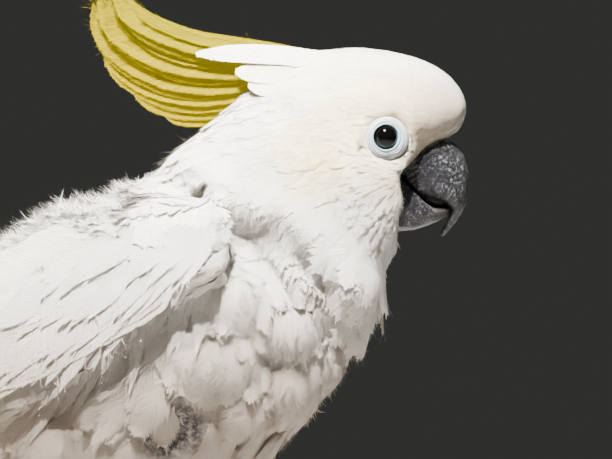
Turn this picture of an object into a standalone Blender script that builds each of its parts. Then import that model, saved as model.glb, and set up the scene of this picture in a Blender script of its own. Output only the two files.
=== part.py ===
"""White cockatoo with a yellow crest, life size, standing on both feet.

Frame: metres, +X the way the bird faces, +Y its left side, +Z up. The origin is on the floor,
under the middle of the bird's bounding box. Sizes below are in millimetres until MM scales them.

The fleshy body is one loft from forehead to rump, parted by two thin cuts into head, neck and
trunk. Folded wings, crest plumes and tail are bent sheets given a thickness. Beak, eyes, thighs,
shanks, toes and claws are solids of their own that meet the body with a narrow gap.
"""

import math

import bmesh
import bpy
from mathutils import Matrix, Vector
from mathutils.bvhtree import BVHTree

MM = 0.001
GAP = 0.35  # clear distance between neighbouring solids
BODY_SIDES = 18
BODY_STEPS = 2
ROUNDNESS = 2.25  # superellipse power of the body's sections, 2 being an ellipse

# Stations of the body, from forehead to rump: the point on the back or crown (x, z), the point on
# the belly or chin (x, z), half the width, and how far the width leans to the back (+) or belly (-).
FOREHEAD_POLE = (223.1, 254.4)
BODY_STATIONS = (
    # back x, back z, belly x, belly z, half width, lean
    (221.4, 262.6, 218.5, 245.2, 9.5, 0.00),
    (215.1, 271.0, 209.5, 239.8, 16.5, 0.00),
    (205.1, 277.6, 199.1, 229.5, 21.5, 0.00),
    (192.5, 281.6, 195.1, 199.6, 25.5, -0.04),
    (176.8, 284.1, 190.9, 189.6, 28.8, -0.08),
    (158.8, 283.4, 186.4, 178.4, 31.4, -0.12),
    (140.8, 278.6, 184.1, 166.7, 33.6, -0.14),
    (124.3, 269.2, 182.7, 156.4, 35.6, -0.14),
    (109.7, 255.0, 177.7, 148.6, 38.0, -0.12),
    (98.0, 240.0, 172.1, 140.0, 41.0, -0.10),
    (86.8, 227.6, 166.4, 130.4, 44.2, -0.06),
    (68.8, 223.6, 155.6, 116.2, 48.0, -0.04),
    (46.3, 216.2, 141.7, 100.2, 51.0, -0.02),
    (21.5, 204.5, 122.8, 84.8, 52.5, 0.00),
    (-3.3, 188.3, 98.0, 71.4, 52.5, 0.00),
    (-25.8, 168.9, 68.8, 61.2, 50.5, 0.00),
    (-46.0, 148.7, 37.3, 54.0, 46.5, 0.00),
    (-64.0, 129.8, 5.7, 49.0, 40.0, 0.00),
    (-79.8, 113.1, -23.5, 46.0, 32.0, 0.00),
    (-93.3, 98.3, -49.5, 44.2, 24.0, 0.00),
    (-104.0, 85.0, -73.5, 44.0, 17.0, 0.00),
    (-111.5, 74.0, -91.5, 46.0, 11.0, 0.00),
)
RUMP_POLE = (-105.5, 58.0)
NECK_FRONT_CUT = ((113.5, 259.0), (179.5, 150.5))  # the head ends here: back point, belly point
NECK_REAR_CUT = ((79.5, 226.5), (162.0, 124.5))  # the trunk begins here

# Beak: the same kind of stations, from the face out to the tip.
UPPER_BEAK_STATIONS = (
    (213.0, 243.0, 192.5, 231.5, 10.2, 0.00),
    (217.1, 241.0, 193.9, 227.6, 10.8, 0.00),
    (221.4, 235.3, 196.3, 223.2, 11.2, 0.00),
    (223.5, 227.4, 199.1, 218.6, 11.2, 0.00),
    (223.5, 219.8, 203.5, 216.2, 10.6, 0.00),
    (222.3, 213.6, 209.7, 214.9, 9.2, 0.00),
    (220.0, 208.8, 214.4, 212.4, 6.6, 0.00),
    (217.4, 205.0, 214.5, 208.9, 4.2, 0.00),
    (214.6, 201.5, 212.7, 204.6, 2.4, 0.00),
    (211.4, 198.4, 210.5, 200.2, 1.0, 0.00),
)
LOWER_BEAK_STATIONS = (
    (190.9, 226.6, 189.5, 201.0, 9.4, 0.00),
    (194.1, 221.4, 194.3, 201.2, 10.4, 0.00),
    (197.9, 216.4, 198.8, 201.4, 10.6, 0.00),
    (202.0, 212.9, 203.3, 202.4, 10.0, 0.00),
    (206.4, 210.8, 207.7, 204.1, 8.6, 0.00),
    (210.1, 210.6, 211.1, 206.2, 6.6, 0.00),
    (212.7, 211.4, 213.2, 209.0, 4.2, 0.00),
)
BEAK_SIDES = 10

EYE_AT = (185.4, 243.0)  # the pupil's x and z
EYE_RADIUS = 5.4
EYE_RING_AT = (186.7, 242.4)
EYE_RING_INNER, EYE_RING_OUTER, EYE_RING_PROUD = 5.8, 8.9, 0.9
EYE_SIDES = 16
EYE_BALL_SEGMENTS, EYE_BALL_RINGS = 14, 8
EYE_SUNK, EYE_RING_SUNK, EYE_RING_DEPTH = 2.6, 1.0, 3.0  # how deep ball and ring sit in the face
EYE_SOCKET_SPARE = 5.0
EYE_TURN = math.radians(9)  # the eyes look a little forward

# Crest plumes, front one first: the spine's x, z points from root to tip, and half the width.
CREST_PLUMES = (
    (
        (
            (162.5, 282.0), (140.5, 285.0), (119.5, 288.5), (102.5, 291.2), (90.5, 295.0), (78.5, 300.5),
            (68.5, 308.0), (60.5, 317.0),
        ),
        11.5,
    ),
    (
        (
            (154.5, 280.0), (132.5, 279.5), (112.5, 279.5), (96.5, 281.0), (82.5, 285.5), (70.5, 293.0),
            (61.5, 303.0), (56.0, 312.0),
        ),
        10.8,
    ),
    (
        (
            (147.5, 277.0), (126.5, 273.5), (108.5, 271.8), (92.5, 273.0), (78.5, 278.0), (66.5, 286.5),
            (57.5, 297.5), (52.5, 307.0),
        ),
        10.0,
    ),
    (
        (
            (140.5, 273.5), (120.5, 267.8), (104.5, 265.6), (88.5, 267.0), (75.5, 272.5), (63.5, 282.0),
            (54.5, 294.5),
        ),
        9.2,
    ),
    (((133.5, 269.0), (116.5, 262.8), (102.5, 260.8), (89.5, 261.8), (77.5, 267.0), (66.5, 275.0)), 8.2),
    (((126.5, 264.0), (113.5, 257.8), (102.5, 256.2), (91.5, 257.2), (81.5, 261.6)), 7.0),
)
CREST_STEPS_ALONG, CREST_STEPS_ACROSS = 10, 4
CREST_TIP_FROM, CREST_TIP_NARROWING = 0.80, 0.82  # where a plume begins to narrow, and by how much
CREST_BEND = 0.095  # how far a plume hangs beside its spine, in mm for each square mm out
CREST_THICKNESS = 0.9
CREST_COVER_EDGE_TOP = ((162.5, 282.5), (140.5, 283.5), (118.5, 283.4), (97.5, 281.5))
CREST_COVER_EDGE_LOW = ((160.5, 269.5), (140.5, 268.0), (120.5, 272.0), (97.5, 279.0))
CREST_COVER_OUT, CREST_COVER_THICKNESS = 14.4, 0.9
CREST_COVER_FLARE, CREST_COVER_CLOSE = 2.0, 2.4  # how far out its low edge stands, and its tip comes in
CREST_COVER_STEPS_ALONG, CREST_COVER_STEPS_ACROSS = 8, 3

# Folded wing in side view: its lower edge from the bend to the tip, and its upper edge the same way.
WING_LOWER_EDGE = (
    (118.9, 201.0), (117.4, 192.0), (109.3, 183.6), (98.5, 176.4), (86.8, 167.4), (75.5, 156.0),
    (62.5, 142.0), (45.5, 132.0), (27.8, 125.0), (4.5, 113.5), (-32.5, 93.5), (-77.5, 70.5),
    (-122.5, 50.0), (-153.5, 38.5),
)
WING_UPPER_EDGE = (
    (117.1, 206.5), (114.5, 211.5), (108.5, 217.0), (96.5, 220.4), (82.5, 219.6), (66.5, 214.8),
    (48.5, 207.6), (30.5, 198.6), (12.5, 186.8), (-11.5, 168.0), (-43.5, 141.0), (-79.5, 109.0),
    (-121.5, 73.0), (-156.5, 43.5),
)
WING_STEPS_ALONG, WING_STEPS_ACROSS = 24, 5
WING_COVERTS_END, WING_SECONDARIES_END = 0.46, 0.72  # where along the wing each group ends
WING_CLEARANCE = 3.0  # between the wing's inner face and the body
WING_BLEND = 3.0  # how softly the wing leaves the body's side
WING_REAR_OUT_LOW, WING_REAR_OUT_TOP = 20.5, 11.0  # how far out the wing's edges stay behind the body
WING_THICKNESS_FRONT, WING_THICKNESS_TIP, WING_THICKNESS_EDGE = 8.5, 2.0, 0.9

# Tail: from the rump to the tip, a shallow roof that widens.
TAIL_ROOT, TAIL_TIP = (-85.5, 75.0), (-223.0, 9.0)
TAIL_ROOT_HALF, TAIL_TIP_HALF = 8.0, 29.0
TAIL_SAG = 0.22
TAIL_THICKNESS_ROOT, TAIL_THICKNESS_TIP = 4.5, 1.4
TAIL_FEATHERS = 6
TAIL_SCALLOP = 2.2
TAIL_CORNER = 9.0  # how much shorter the outer feathers are
TAIL_STEPS_ALONG, TAIL_STEPS_ACROSS = 5, 18

# Legs. A leg's points are (x, y, z) for the right side, y being the distance out from the middle.
HIP = (70.0, 24.0, 94.0)
KNEE_FRONT_BACK, KNEE_HALF_WIDTH = 25.0, 16.0
ANKLE = (56.0, 29.0, 29.0)
THIGH_STATIONS = (0.0, 0.06, 0.16, 0.3, 0.5, 0.7, 0.86, 0.95, 1.0)  # shares of the way from hip to ankle
THIGH_SIDES = 12
THIGH_TOP_FULLNESS = 0.45
ANKLE_FRONT_BACK, ANKLE_HALF_WIDTH = 6.6, 5.6
FOOT_AT = (65.0, 30.0)
SHANK_RADII = (5.0, 4.4, 4.3, 4.8, 5.4)
SHANK_FOOT_Z = 9.5
HEEL_DROP = 4.0  # how far the shank runs straight down before it slants to the foot
PAD_RADIUS, PAD_HEIGHT = 9.0, 11.0
PAD_SEGMENTS, PAD_RINGS = 14, 8
TOE_Z = 3.6
# Toes: name, direction from straight ahead (+ is outward), length, root radius, tip radius.
TOES = (
    ("2", -30.0, 25.0, 3.4, 2.6),
    ("3", 20.0, 36.0, 3.6, 2.6),
    ("4", 158.0, 32.0, 3.5, 2.5),
    ("1", -144.0, 18.0, 3.2, 2.6),
)
TOE_STEPS, TOE_SIDES, CLAW_STEPS, CLAW_SIDES = 6, 8, 5, 6
TOE_SOLE_CUT = 1.0  # how much of each toe's underside is flattened
CLAW_REACH, CLAW_ARCH, CLAW_DROP = 9.4, 2.6, 1.55

COLOURS = {
    # name: (colour, roughness, metallic)
    "white_plumage": ((0.86, 0.84, 0.79), 0.85, 0.0),
    "wing_feathers": ((0.88, 0.86, 0.80), 0.70, 0.0),
    "tail_feathers": ((0.87, 0.84, 0.74), 0.70, 0.0),
    "yellow_crest": ((0.86, 0.66, 0.06), 0.65, 0.0),
    "beak_horn": ((0.045, 0.045, 0.052), 0.45, 0.0),
    "eye_dark": ((0.010, 0.008, 0.007), 0.08, 0.0),
    "eye_ring_skin": ((0.66, 0.76, 0.80), 0.55, 0.0),
    "foot_skin": ((0.075, 0.072, 0.078), 0.70, 0.0),
    "claw_horn": ((0.030, 0.028, 0.030), 0.40, 0.0),
}


def clear_scene():
    """Removes every object and makes the collections for the bird and for its cutters."""
    for item in list(bpy.data.objects):
        bpy.data.objects.remove(item, do_unlink=True)
    made = []
    for name in ("white_cockatoo", "cutters"):
        collection = bpy.data.collections.new(name)
        bpy.context.scene.collection.children.link(collection)
        made.append(collection)
    return made


def make_materials():
    """One Principled material for each named finish."""
    made = {}
    for name, (colour, roughness, metallic) in COLOURS.items():
        material = bpy.data.materials.new(name)
        material.use_nodes = True
        shader = material.node_tree.nodes["Principled BSDF"]
        shader.inputs["Base Color"].default_value = (*colour, 1.0)
        shader.inputs["Roughness"].default_value = roughness
        shader.inputs["Metallic"].default_value = metallic
        made[name] = material
    return made


BIRD, CUTTERS = clear_scene()
MATERIALS = make_materials()


def add_object(name, mesh, finish, collection=None):
    """Puts a mesh in the scene as a named part, shaded smooth but for its sharp edges."""
    item = bpy.data.objects.new(name, mesh)
    (collection or BIRD).objects.link(item)
    mesh.materials.append(MATERIALS[finish])
    mesh.shade_smooth()
    mesh.set_sharp_from_angle(angle=math.radians(40))
    return item


def to_mesh(name, shape):
    """The bmesh as a mesh in metres, its faces pointing out."""
    bmesh.ops.scale(shape, vec=(MM, MM, MM), verts=shape.verts)
    bmesh.ops.recalc_face_normals(shape, faces=shape.faces)
    mesh = bpy.data.meshes.new(name)
    shape.to_mesh(mesh)
    shape.free()
    return mesh


def spline(points, t):
    """The point at t, from 0 to 1, of a smooth curve through the points, which may have any width."""
    last = len(points) - 1
    place = min(max(t, 0.0), 1.0) * last
    i = min(int(place), last - 1)
    f = place - i
    p1, p2 = points[i], points[i + 1]
    p0 = points[i - 1] if i > 0 else [2 * a - b for a, b in zip(p1, p2)]
    p3 = points[i + 2] if i + 2 <= last else [2 * b - a for a, b in zip(p1, p2)]
    return [
        0.5 * (2 * b + (c - a) * f + (2 * a - 5 * b + 4 * c - d) * f * f + (3 * b - 3 * c + d - a) * f**3)
        for a, b, c, d in zip(p0, p1, p2, p3)
    ]


def section(station, sides, power):
    """A ring of points round one station: a superellipse in the plane of its back and belly points."""
    back_x, back_z, belly_x, belly_z, half_width, lean = station
    middle = Vector(((back_x + belly_x) / 2, 0, (back_z + belly_z) / 2))
    up = Vector(((back_x - belly_x) / 2, 0, (back_z - belly_z) / 2))
    ring = []
    for i in range(sides):
        angle = 2 * math.pi * i / sides
        rise, side = (
            math.copysign(abs(v) ** (2 / power), v) if abs(v) > 1e-9 else 0.0
            for v in (math.cos(angle), math.sin(angle))
        )
        ring.append(middle + up * rise + Vector((0, half_width * side * (1 + lean * rise), 0)))
    return ring


def loft(rings, front_pole=None, rear_pole=None):
    """A closed bmesh through rings of equal length, each end closed by a pole point or a flat cap."""
    shape = bmesh.new()
    made = [[shape.verts.new(p) for p in ring] for ring in rings]
    count = len(made[0])
    for a, b in zip(made, made[1:]):
        for i in range(count):
            j = (i + 1) % count
            shape.faces.new((a[i], a[j], b[j], b[i]))
    for ring, pole in ((made[0], front_pole), (made[-1], rear_pole)):
        if pole is None:
            shape.faces.new(ring)
            continue
        tip = shape.verts.new(pole)
        for i in range(count):
            shape.faces.new((ring[i], ring[(i + 1) % count], tip))
    return shape


def lofted_stations(stations, steps, sides, front_pole=None, rear_pole=None):
    """A loft through stations, with steps rings between each two, read from a smooth curve."""
    count = (len(stations) - 1) * steps
    rings = [section(spline(stations, i / count), sides, ROUNDNESS) for i in range(count + 1)]
    return loft(rings, front_pole, rear_pole)


def cut_by_plane(shape, at, normal, keep_front):
    """Cuts the shape by a plane and closes the cut. It keeps the normal's side, or else the other."""
    cut = bmesh.ops.bisect_plane(
        shape,
        geom=shape.verts[:] + shape.edges[:] + shape.faces[:],
        dist=1e-6,
        plane_co=at,
        plane_no=normal,
        clear_inner=keep_front,
        clear_outer=not keep_front,
    )
    rim = [e for e in cut["geom_cut"] if isinstance(e, bmesh.types.BMEdge)]
    bmesh.ops.edgeloop_fill(shape, edges=rim)


def cut_plane(points):
    """(point, unit normal) of a sideways plane through a back and a belly point, facing the bird's front."""
    back, belly = (Vector((x, 0, z)) for x, z in points)
    normal = (back - belly).cross(Vector((0, 1, 0))).normalized()
    return belly, normal if normal.x > 0 else -normal


def add_cutter(name, mesh, swell):
    """A copy of a mesh, swollen by a distance in millimetres, that cuts room for its neighbour."""
    shape = bmesh.new()
    shape.from_mesh(mesh)
    shape.normal_update()
    for vert in shape.verts:
        vert.co += vert.normal * swell * MM
    swollen = bpy.data.meshes.new(name)
    shape.to_mesh(swollen)
    shape.free()
    cutter = bpy.data.objects.new(name, swollen)
    CUTTERS.objects.link(cutter)
    cutter.hide_render = True
    cutter.display_type = "WIRE"
    return cutter


def cut_away(item, cutter):
    """Takes the cutter's shape out of a part with a Boolean modifier."""
    modifier = item.modifiers.new(f"room_for_{cutter.name}", "BOOLEAN")
    modifier.operation = "DIFFERENCE"
    modifier.object = cutter


def thick_sheet(steps_along, steps_across, place, thickness):
    """A closed bent sheet: place(u, v) gives its inner face, thickness(u, v) how far off the outer is."""
    shape = bmesh.new()
    bmesh.ops.create_grid(shape, x_segments=steps_along, y_segments=steps_across, size=0.5)
    where = {}
    for vert in shape.verts:
        u, v = vert.co.x + 0.5, vert.co.y + 0.5
        where[vert.index] = (u, v)
        vert.co = place(u, v)
    shape.normal_update()
    inner = list(shape.verts)
    stand_off = [vert.normal * thickness(*where[vert.index]) for vert in inner]
    grown = bmesh.ops.extrude_face_region(shape, geom=shape.faces[:])
    outer = [v for v in grown["geom"] if isinstance(v, bmesh.types.BMVert)]
    # The outer copy of each point is the one that still lies exactly on it.
    nearest = {tuple(v.co): v for v in outer}
    for vert, offset in zip(inner, stand_off):
        nearest[tuple(vert.co)].co += offset
    return shape


def build_body():
    """Head, neck and trunk from one loft, parted by two thin cuts. Returns the parts and the whole shape."""
    whole = lofted_stations(
        BODY_STATIONS,
        BODY_STEPS,
        BODY_SIDES,
        Vector((FOREHEAD_POLE[0], 0, FOREHEAD_POLE[1])),
        Vector((RUMP_POLE[0], 0, RUMP_POLE[1])),
    )
    bmesh.ops.recalc_face_normals(whole, faces=whole.faces)
    front_at, front_normal = cut_plane(NECK_FRONT_CUT)
    rear_at, rear_normal = cut_plane(NECK_REAR_CUT)
    half = GAP / 2
    cuts = {
        "head": ((front_at + front_normal * half, front_normal, True),),
        "neck": (
            (front_at - front_normal * half, front_normal, False),
            (rear_at + rear_normal * half, rear_normal, True),
        ),
        "trunk": ((rear_at - rear_normal * half, rear_normal, False),),
    }
    parts = {}
    for name, planes in cuts.items():
        piece = whole.copy()
        for at, normal, keep_front in planes:
            cut_by_plane(piece, at, normal, keep_front)
        parts[name] = add_object(name, to_mesh(name, piece), "white_plumage")
    return parts, whole


def surface_finder(shape):
    """A function of (x, z): how far out the body's side is there, or None where there is no body."""
    tree = BVHTree.FromBMesh(shape)
    far = 300.0

    def half_width_at(x, z):
        hit = tree.ray_cast(Vector((x, far, z)), Vector((0, -1, 0)))[0]
        return None if hit is None else hit.y

    return half_width_at


def build_beak(head):
    """Upper and lower beak, and the room for them in the face."""
    for name, stations in (("upper_beak", UPPER_BEAK_STATIONS), ("lower_beak", LOWER_BEAK_STATIONS)):
        shape = lofted_stations(stations, 2, BEAK_SIDES)
        part = add_object(name, to_mesh(name, shape), "beak_horn")
        cut_away(head, add_cutter(f"{name}_room", part.data, GAP))


def turned_ring(inner, outer, low, high):
    """A ring about the Y axis with a rounded outer shoulder, made by spinning its outline."""
    middle = (inner + outer) / 2
    outline = ((inner, low), (outer, low), (outer, high * 0.4), (middle, high), (inner, high * 0.7))
    shape = bmesh.new()
    verts = [shape.verts.new((r, y, 0)) for r, y in outline]
    edges = [shape.edges.new((verts[i], verts[(i + 1) % len(verts)])) for i in range(len(verts))]
    bmesh.ops.spin(
        shape,
        geom=verts + edges,
        cent=(0, 0, 0),
        axis=(0, 1, 0),
        angle=2 * math.pi,
        steps=EYE_SIDES,
        use_merge=True,
    )
    bmesh.ops.remove_doubles(shape, verts=shape.verts, dist=1e-4)
    return shape


def build_eyes(head, half_width_at):
    """Each eye and its ring of bare skin, set in a socket in the head."""
    out = half_width_at(*EYE_AT)
    for side, name in ((1, "left"), (-1, "right")):
        turn = Matrix.Rotation(-side * EYE_TURN, 4, "Z") @ Matrix.Diagonal((1, side, 1, 1))
        at_ring = Matrix.Translation((EYE_RING_AT[0], side * (out - EYE_RING_SUNK), EYE_RING_AT[1])) @ turn
        at_eye = Matrix.Translation((EYE_AT[0], side * (out - EYE_SUNK), EYE_AT[1])) @ turn
        ring = turned_ring(EYE_RING_INNER, EYE_RING_OUTER, -EYE_RING_DEPTH, EYE_RING_PROUD + EYE_RING_SUNK)
        centred = Matrix.Translation((EYE_AT[0] - EYE_RING_AT[0], 0, EYE_AT[1] - EYE_RING_AT[1]))
        bore_verts = [v for v in ring.verts if math.hypot(v.co.x, v.co.z) < EYE_RING_INNER + 0.5]
        bmesh.ops.transform(ring, matrix=centred, verts=bore_verts)
        bmesh.ops.transform(ring, matrix=at_ring, verts=ring.verts)
        add_object(f"eye_ring_{name}", to_mesh(f"eye_ring_{name}", ring), "eye_ring_skin")
        ball = bmesh.new()
        bmesh.ops.create_uvsphere(
            ball,
            u_segments=EYE_BALL_SEGMENTS,
            v_segments=EYE_BALL_RINGS,
            radius=EYE_RADIUS,
        )
        bmesh.ops.rotate(ball, matrix=Matrix.Rotation(math.pi / 2, 3, "X"), verts=ball.verts)
        bmesh.ops.transform(ball, matrix=at_eye, verts=ball.verts)
        add_object(f"eye_{name}", to_mesh(f"eye_{name}", ball), "eye_dark")
        socket = bmesh.new()
        bmesh.ops.create_cone(
            socket,
            cap_ends=True,
            segments=EYE_SIDES,
            radius1=EYE_RING_OUTER + GAP,
            radius2=EYE_RING_OUTER + GAP,
            depth=2 * (EYE_RADIUS + EYE_SOCKET_SPARE),
        )
        bmesh.ops.rotate(socket, matrix=Matrix.Rotation(math.pi / 2, 3, "X"), verts=socket.verts)
        bmesh.ops.transform(socket, matrix=at_ring, verts=socket.verts)
        cut_away(head, add_cutter(f"eye_socket_{name}", to_mesh(f"eye_socket_{name}", socket), 0.0))


def build_crest(rooms):
    """Six nested gutter-shaped plumes and, on each side, the white cover over their roots."""
    for number, (spine, half) in enumerate(CREST_PLUMES, start=1):

        def place(u, v, spine=spine, half=half):
            x, z = spline(spine, u)
            across = 2 * v - 1
            width = half * (0.45 + 0.55 * math.sin(math.pi * min(1.0, 0.15 + 0.75 * u)))
            narrow = max(0.0, (u - CREST_TIP_FROM) / (1 - CREST_TIP_FROM))
            width *= 1.0 - CREST_TIP_NARROWING * narrow**2
            ahead, behind = spline(spine, u + 0.02), spline(spine, u - 0.02)
            along = Vector((ahead[0] - behind[0], 0, ahead[1] - behind[1])).normalized()
            down = along.cross(Vector((0, 1, 0)))
            down = down if down.z < 0 else -down
            return Vector((x, width * across, z)) + down * (CREST_BEND * (width * across) ** 2)

        name = f"crest_plume_{number}"
        shape = thick_sheet(CREST_STEPS_ALONG, CREST_STEPS_ACROSS, place, lambda u, v: -CREST_THICKNESS)
        plume = add_object(name, to_mesh(name, shape), "yellow_crest")
        for room in rooms:
            cut_away(plume, room)
    for side, label in ((1, "left"), (-1, "right")):

        def place_cover(u, v, side=side):
            top, low = spline(CREST_COVER_EDGE_TOP, u), spline(CREST_COVER_EDGE_LOW, u)
            x, z = (a + (b - a) * v for a, b in zip(top, low))
            out = CREST_COVER_OUT + CREST_COVER_FLARE * v - CREST_COVER_CLOSE * u
            return Vector((x, side * out, z))

        name = f"crest_cover_{label}"
        shape = thick_sheet(
            CREST_COVER_STEPS_ALONG,
            CREST_COVER_STEPS_ACROSS,
            place_cover,
            lambda u, v, side=side: -side * CREST_COVER_THICKNESS,
        )
        cut_away(add_object(name, to_mesh(name, shape), "white_plumage"), rooms[0])


def build_wings(half_width_at):
    """Both folded wings, each in three groups of feathers that meet along slanted lines."""

    def place(u, v):
        low, high = spline(WING_LOWER_EDGE, u), spline(WING_UPPER_EDGE, u)
        x, z = (a + (b - a) * v for a, b in zip(low, high))
        body = half_width_at(x, z)
        least = WING_REAR_OUT_LOW + (WING_REAR_OUT_TOP - WING_REAR_OUT_LOW) * v
        out = least if body is None else body + WING_CLEARANCE
        return Vector((x, least + WING_BLEND * math.log1p(math.exp((out - least) / WING_BLEND)), z))

    def thickness(u, v):
        crown = math.sin(math.pi * min(max(v, 0.0), 1.0)) ** 0.5
        nose = min(1.0, (u / 0.06)) ** 0.5
        full = WING_THICKNESS_FRONT + (WING_THICKNESS_TIP - WING_THICKNESS_FRONT) * u**0.7
        return WING_THICKNESS_EDGE + (full - WING_THICKNESS_EDGE) * crown * nose

    groups = (
        ("coverts", 0.0, WING_COVERTS_END, "white_plumage"),
        ("secondaries", WING_COVERTS_END, WING_SECONDARIES_END, "wing_feathers"),
        ("primaries", WING_SECONDARIES_END, 1.0, "wing_feathers"),
    )
    shrink = GAP / 2 / 320.0  # half a gap, as a share of the wing's length
    for side, label in ((1, "left"), (-1, "right")):
        mirror = Matrix.Diagonal((1, side, 1, 1))
        for group, start, end, finish in groups:
            first = start + (shrink if start > 0 else 0)
            last = end - (shrink if end < 1 else 0)
            span = last - first
            shape = thick_sheet(
                max(4, round(WING_STEPS_ALONG * span)),
                WING_STEPS_ACROSS,
                lambda u, v: place(first + span * u, v),
                lambda u, v: thickness(first + span * u, v),
            )
            bmesh.ops.transform(shape, matrix=mirror, verts=shape.verts)
            name = f"wing_{group}_{label}"
            add_object(name, to_mesh(name, shape), finish)


def build_tail(trunk_room):
    """The closed tail: a shallow roof of six pairs of feathers with a scalloped end."""
    root, tip = (Vector((x, 0, z)) for x, z in (TAIL_ROOT, TAIL_TIP))
    along = tip - root
    up = Vector((0, 1, 0)).cross(along).normalized()
    up = up if up.z > 0 else -up

    def place(u, v):
        across = 2 * v - 1
        half = TAIL_ROOT_HALF + (TAIL_TIP_HALF - TAIL_ROOT_HALF) * u**0.8
        scallop = TAIL_SCALLOP * abs(math.cos(math.pi * TAIL_FEATHERS * v))
        shorter = (TAIL_CORNER * abs(across) ** 3 + scallop) * u**6
        point = root + along * u - along.normalized() * shorter
        return point + Vector((0, half * across, 0)) - up * (TAIL_SAG * half * across * across)

    def thickness(u, v):
        full = TAIL_THICKNESS_ROOT + (TAIL_THICKNESS_TIP - TAIL_THICKNESS_ROOT) * u
        return -(0.9 + (full - 0.9) * (1 - abs(2 * v - 1) ** 2))

    shape = thick_sheet(TAIL_STEPS_ALONG, TAIL_STEPS_ACROSS, place, thickness)
    cut_away(add_object("tail", to_mesh("tail", shape), "tail_feathers"), trunk_room)


def tube(points, radii, sides, finish, name):
    """A tapered tube as a bevelled curve made into a mesh, with welded caps. Points in millimetres."""
    data = bpy.data.curves.new(name, "CURVE")
    data.dimensions = "3D"
    data.bevel_depth = MM
    data.bevel_resolution = max(0, sides // 2 - 2)
    data.use_fill_caps = True
    line = data.splines.new("POLY")
    line.points.add(len(points) - 1)
    for knot, at, radius in zip(line.points, points, radii):
        knot.co = (*(c * MM for c in at), 1.0)
        knot.radius = radius
    guide = bpy.data.objects.new(name, data)
    bpy.context.scene.collection.objects.link(guide)
    graph = bpy.context.evaluated_depsgraph_get()
    mesh = bpy.data.meshes.new_from_object(guide.evaluated_get(graph))
    bpy.data.objects.remove(guide)
    bpy.data.curves.remove(data)
    shape = bmesh.new()
    shape.from_mesh(mesh)
    bmesh.ops.remove_doubles(shape, verts=shape.verts, dist=1e-6)
    bmesh.ops.recalc_face_normals(shape, faces=shape.faces)
    shape.to_mesh(mesh)
    shape.free()
    mesh.name = name
    return add_object(name, mesh, finish)


def flatten_sole(item, height):
    """Cuts a part off level at a height in millimetres, so that it stands on a small flat."""
    shape = bmesh.new()
    shape.from_mesh(item.data)
    cut_by_plane(shape, Vector((0, 0, height * MM)), Vector((0, 0, 1)), True)
    shape.to_mesh(item.data)
    shape.free()


def build_thigh(side, label, trunk_room):
    """The feathered upper leg, from inside the belly down to the ankle."""
    rings = []
    turns = [2 * math.pi * i / THIGH_SIDES for i in range(THIGH_SIDES)]
    for share in THIGH_STATIONS:
        x, y, z = (a + (b - a) * share for a, b in zip(HIP, ANKLE))
        taper = share**1.3
        fullness = THIGH_TOP_FULLNESS + (1 - THIGH_TOP_FULLNESS) * min(1.0, share / 0.3) ** 0.5
        half_x = fullness * (KNEE_FRONT_BACK + (ANKLE_FRONT_BACK - KNEE_FRONT_BACK) * taper)
        half_y = fullness * (KNEE_HALF_WIDTH + (ANKLE_HALF_WIDTH - KNEE_HALF_WIDTH) * taper)
        rings.append([Vector((x + half_x * math.cos(a), side * y + half_y * math.sin(a), z)) for a in turns])
    name = f"thigh_{label}"
    cut_away(add_object(name, to_mesh(name, loft(rings)), "white_plumage"), trunk_room)


def build_foot(side, label):
    """Shank, pad, and four toes with claws, two ahead and two behind."""
    foot_x, foot_y = FOOT_AT[0], side * FOOT_AT[1]
    top = (ANKLE[0], side * ANKLE[1], ANKLE[2] - GAP)
    heel = (ANKLE[0], side * ANKLE[1], ANKLE[2] - HEEL_DROP)
    foot = (foot_x, foot_y, SHANK_FOOT_Z)
    run = [
        top,
        heel,
        tuple(a + (b - a) * 0.35 for a, b in zip(heel, foot)),
        tuple(a + (b - a) * 0.7 for a, b in zip(heel, foot)),
        foot,
    ]
    shank = tube(run, SHANK_RADII, TOE_SIDES, "foot_skin", f"shank_{label}")
    pad = bmesh.new()
    bmesh.ops.create_uvsphere(pad, u_segments=PAD_SEGMENTS, v_segments=PAD_RINGS, radius=1.0)
    bmesh.ops.scale(pad, vec=(PAD_RADIUS, PAD_RADIUS, PAD_HEIGHT / 2 + TOE_SOLE_CUT), verts=pad.verts)
    bmesh.ops.translate(pad, vec=(foot_x, foot_y, PAD_HEIGHT / 2), verts=pad.verts)
    pad_part = add_object(f"foot_pad_{label}", to_mesh(f"foot_pad_{label}", pad), "foot_skin")
    flatten_sole(pad_part, 0.0)
    pad_room = add_cutter(f"foot_pad_room_{label}", pad_part.data, GAP)
    cut_away(shank, pad_room)
    for number, turn, length, root_radius, tip_radius in TOES:
        angle = math.radians(turn)
        ahead = Vector((math.cos(angle), side * math.sin(angle), 0))
        root = Vector((foot_x, foot_y, TOE_Z + 0.8)) + ahead * (PAD_RADIUS * 0.55)
        points, radii = [], []
        for i in range(TOE_STEPS + 1):
            share = i / TOE_STEPS
            knuckle = 0.30 * abs(math.sin(2.5 * math.pi * share))
            radius = root_radius + (tip_radius - root_radius) * share + knuckle
            lift = radius - root.z - TOE_SOLE_CUT * 0.5
            points.append(root + ahead * (length * share) + Vector((0, 0, lift)))
            radii.append(radius)
        toe = tube(points, radii, TOE_SIDES, "foot_skin", f"toe_{number}_{label}")
        flatten_sole(toe, 0.0)
        cut_away(toe, pad_room)
        build_claw(points[-1], ahead, tip_radius, f"claw_{number}_{label}")


def build_claw(start, ahead, radius, name):
    """A curved claw that leaves the toe's end and drops to just above the floor."""
    points, radii = [], []
    for i in range(CLAW_STEPS + 1):
        share = i / CLAW_STEPS
        rise = CLAW_ARCH * 4 * share * share * (1 - share) - CLAW_DROP * share * share
        points.append(start + ahead * (GAP + CLAW_REACH * share) + Vector((0, 0, rise)))
        radii.append(radius * (0.86 - 0.70 * share**0.9))
    tube(points, radii, CLAW_SIDES, "claw_horn", name)


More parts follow.
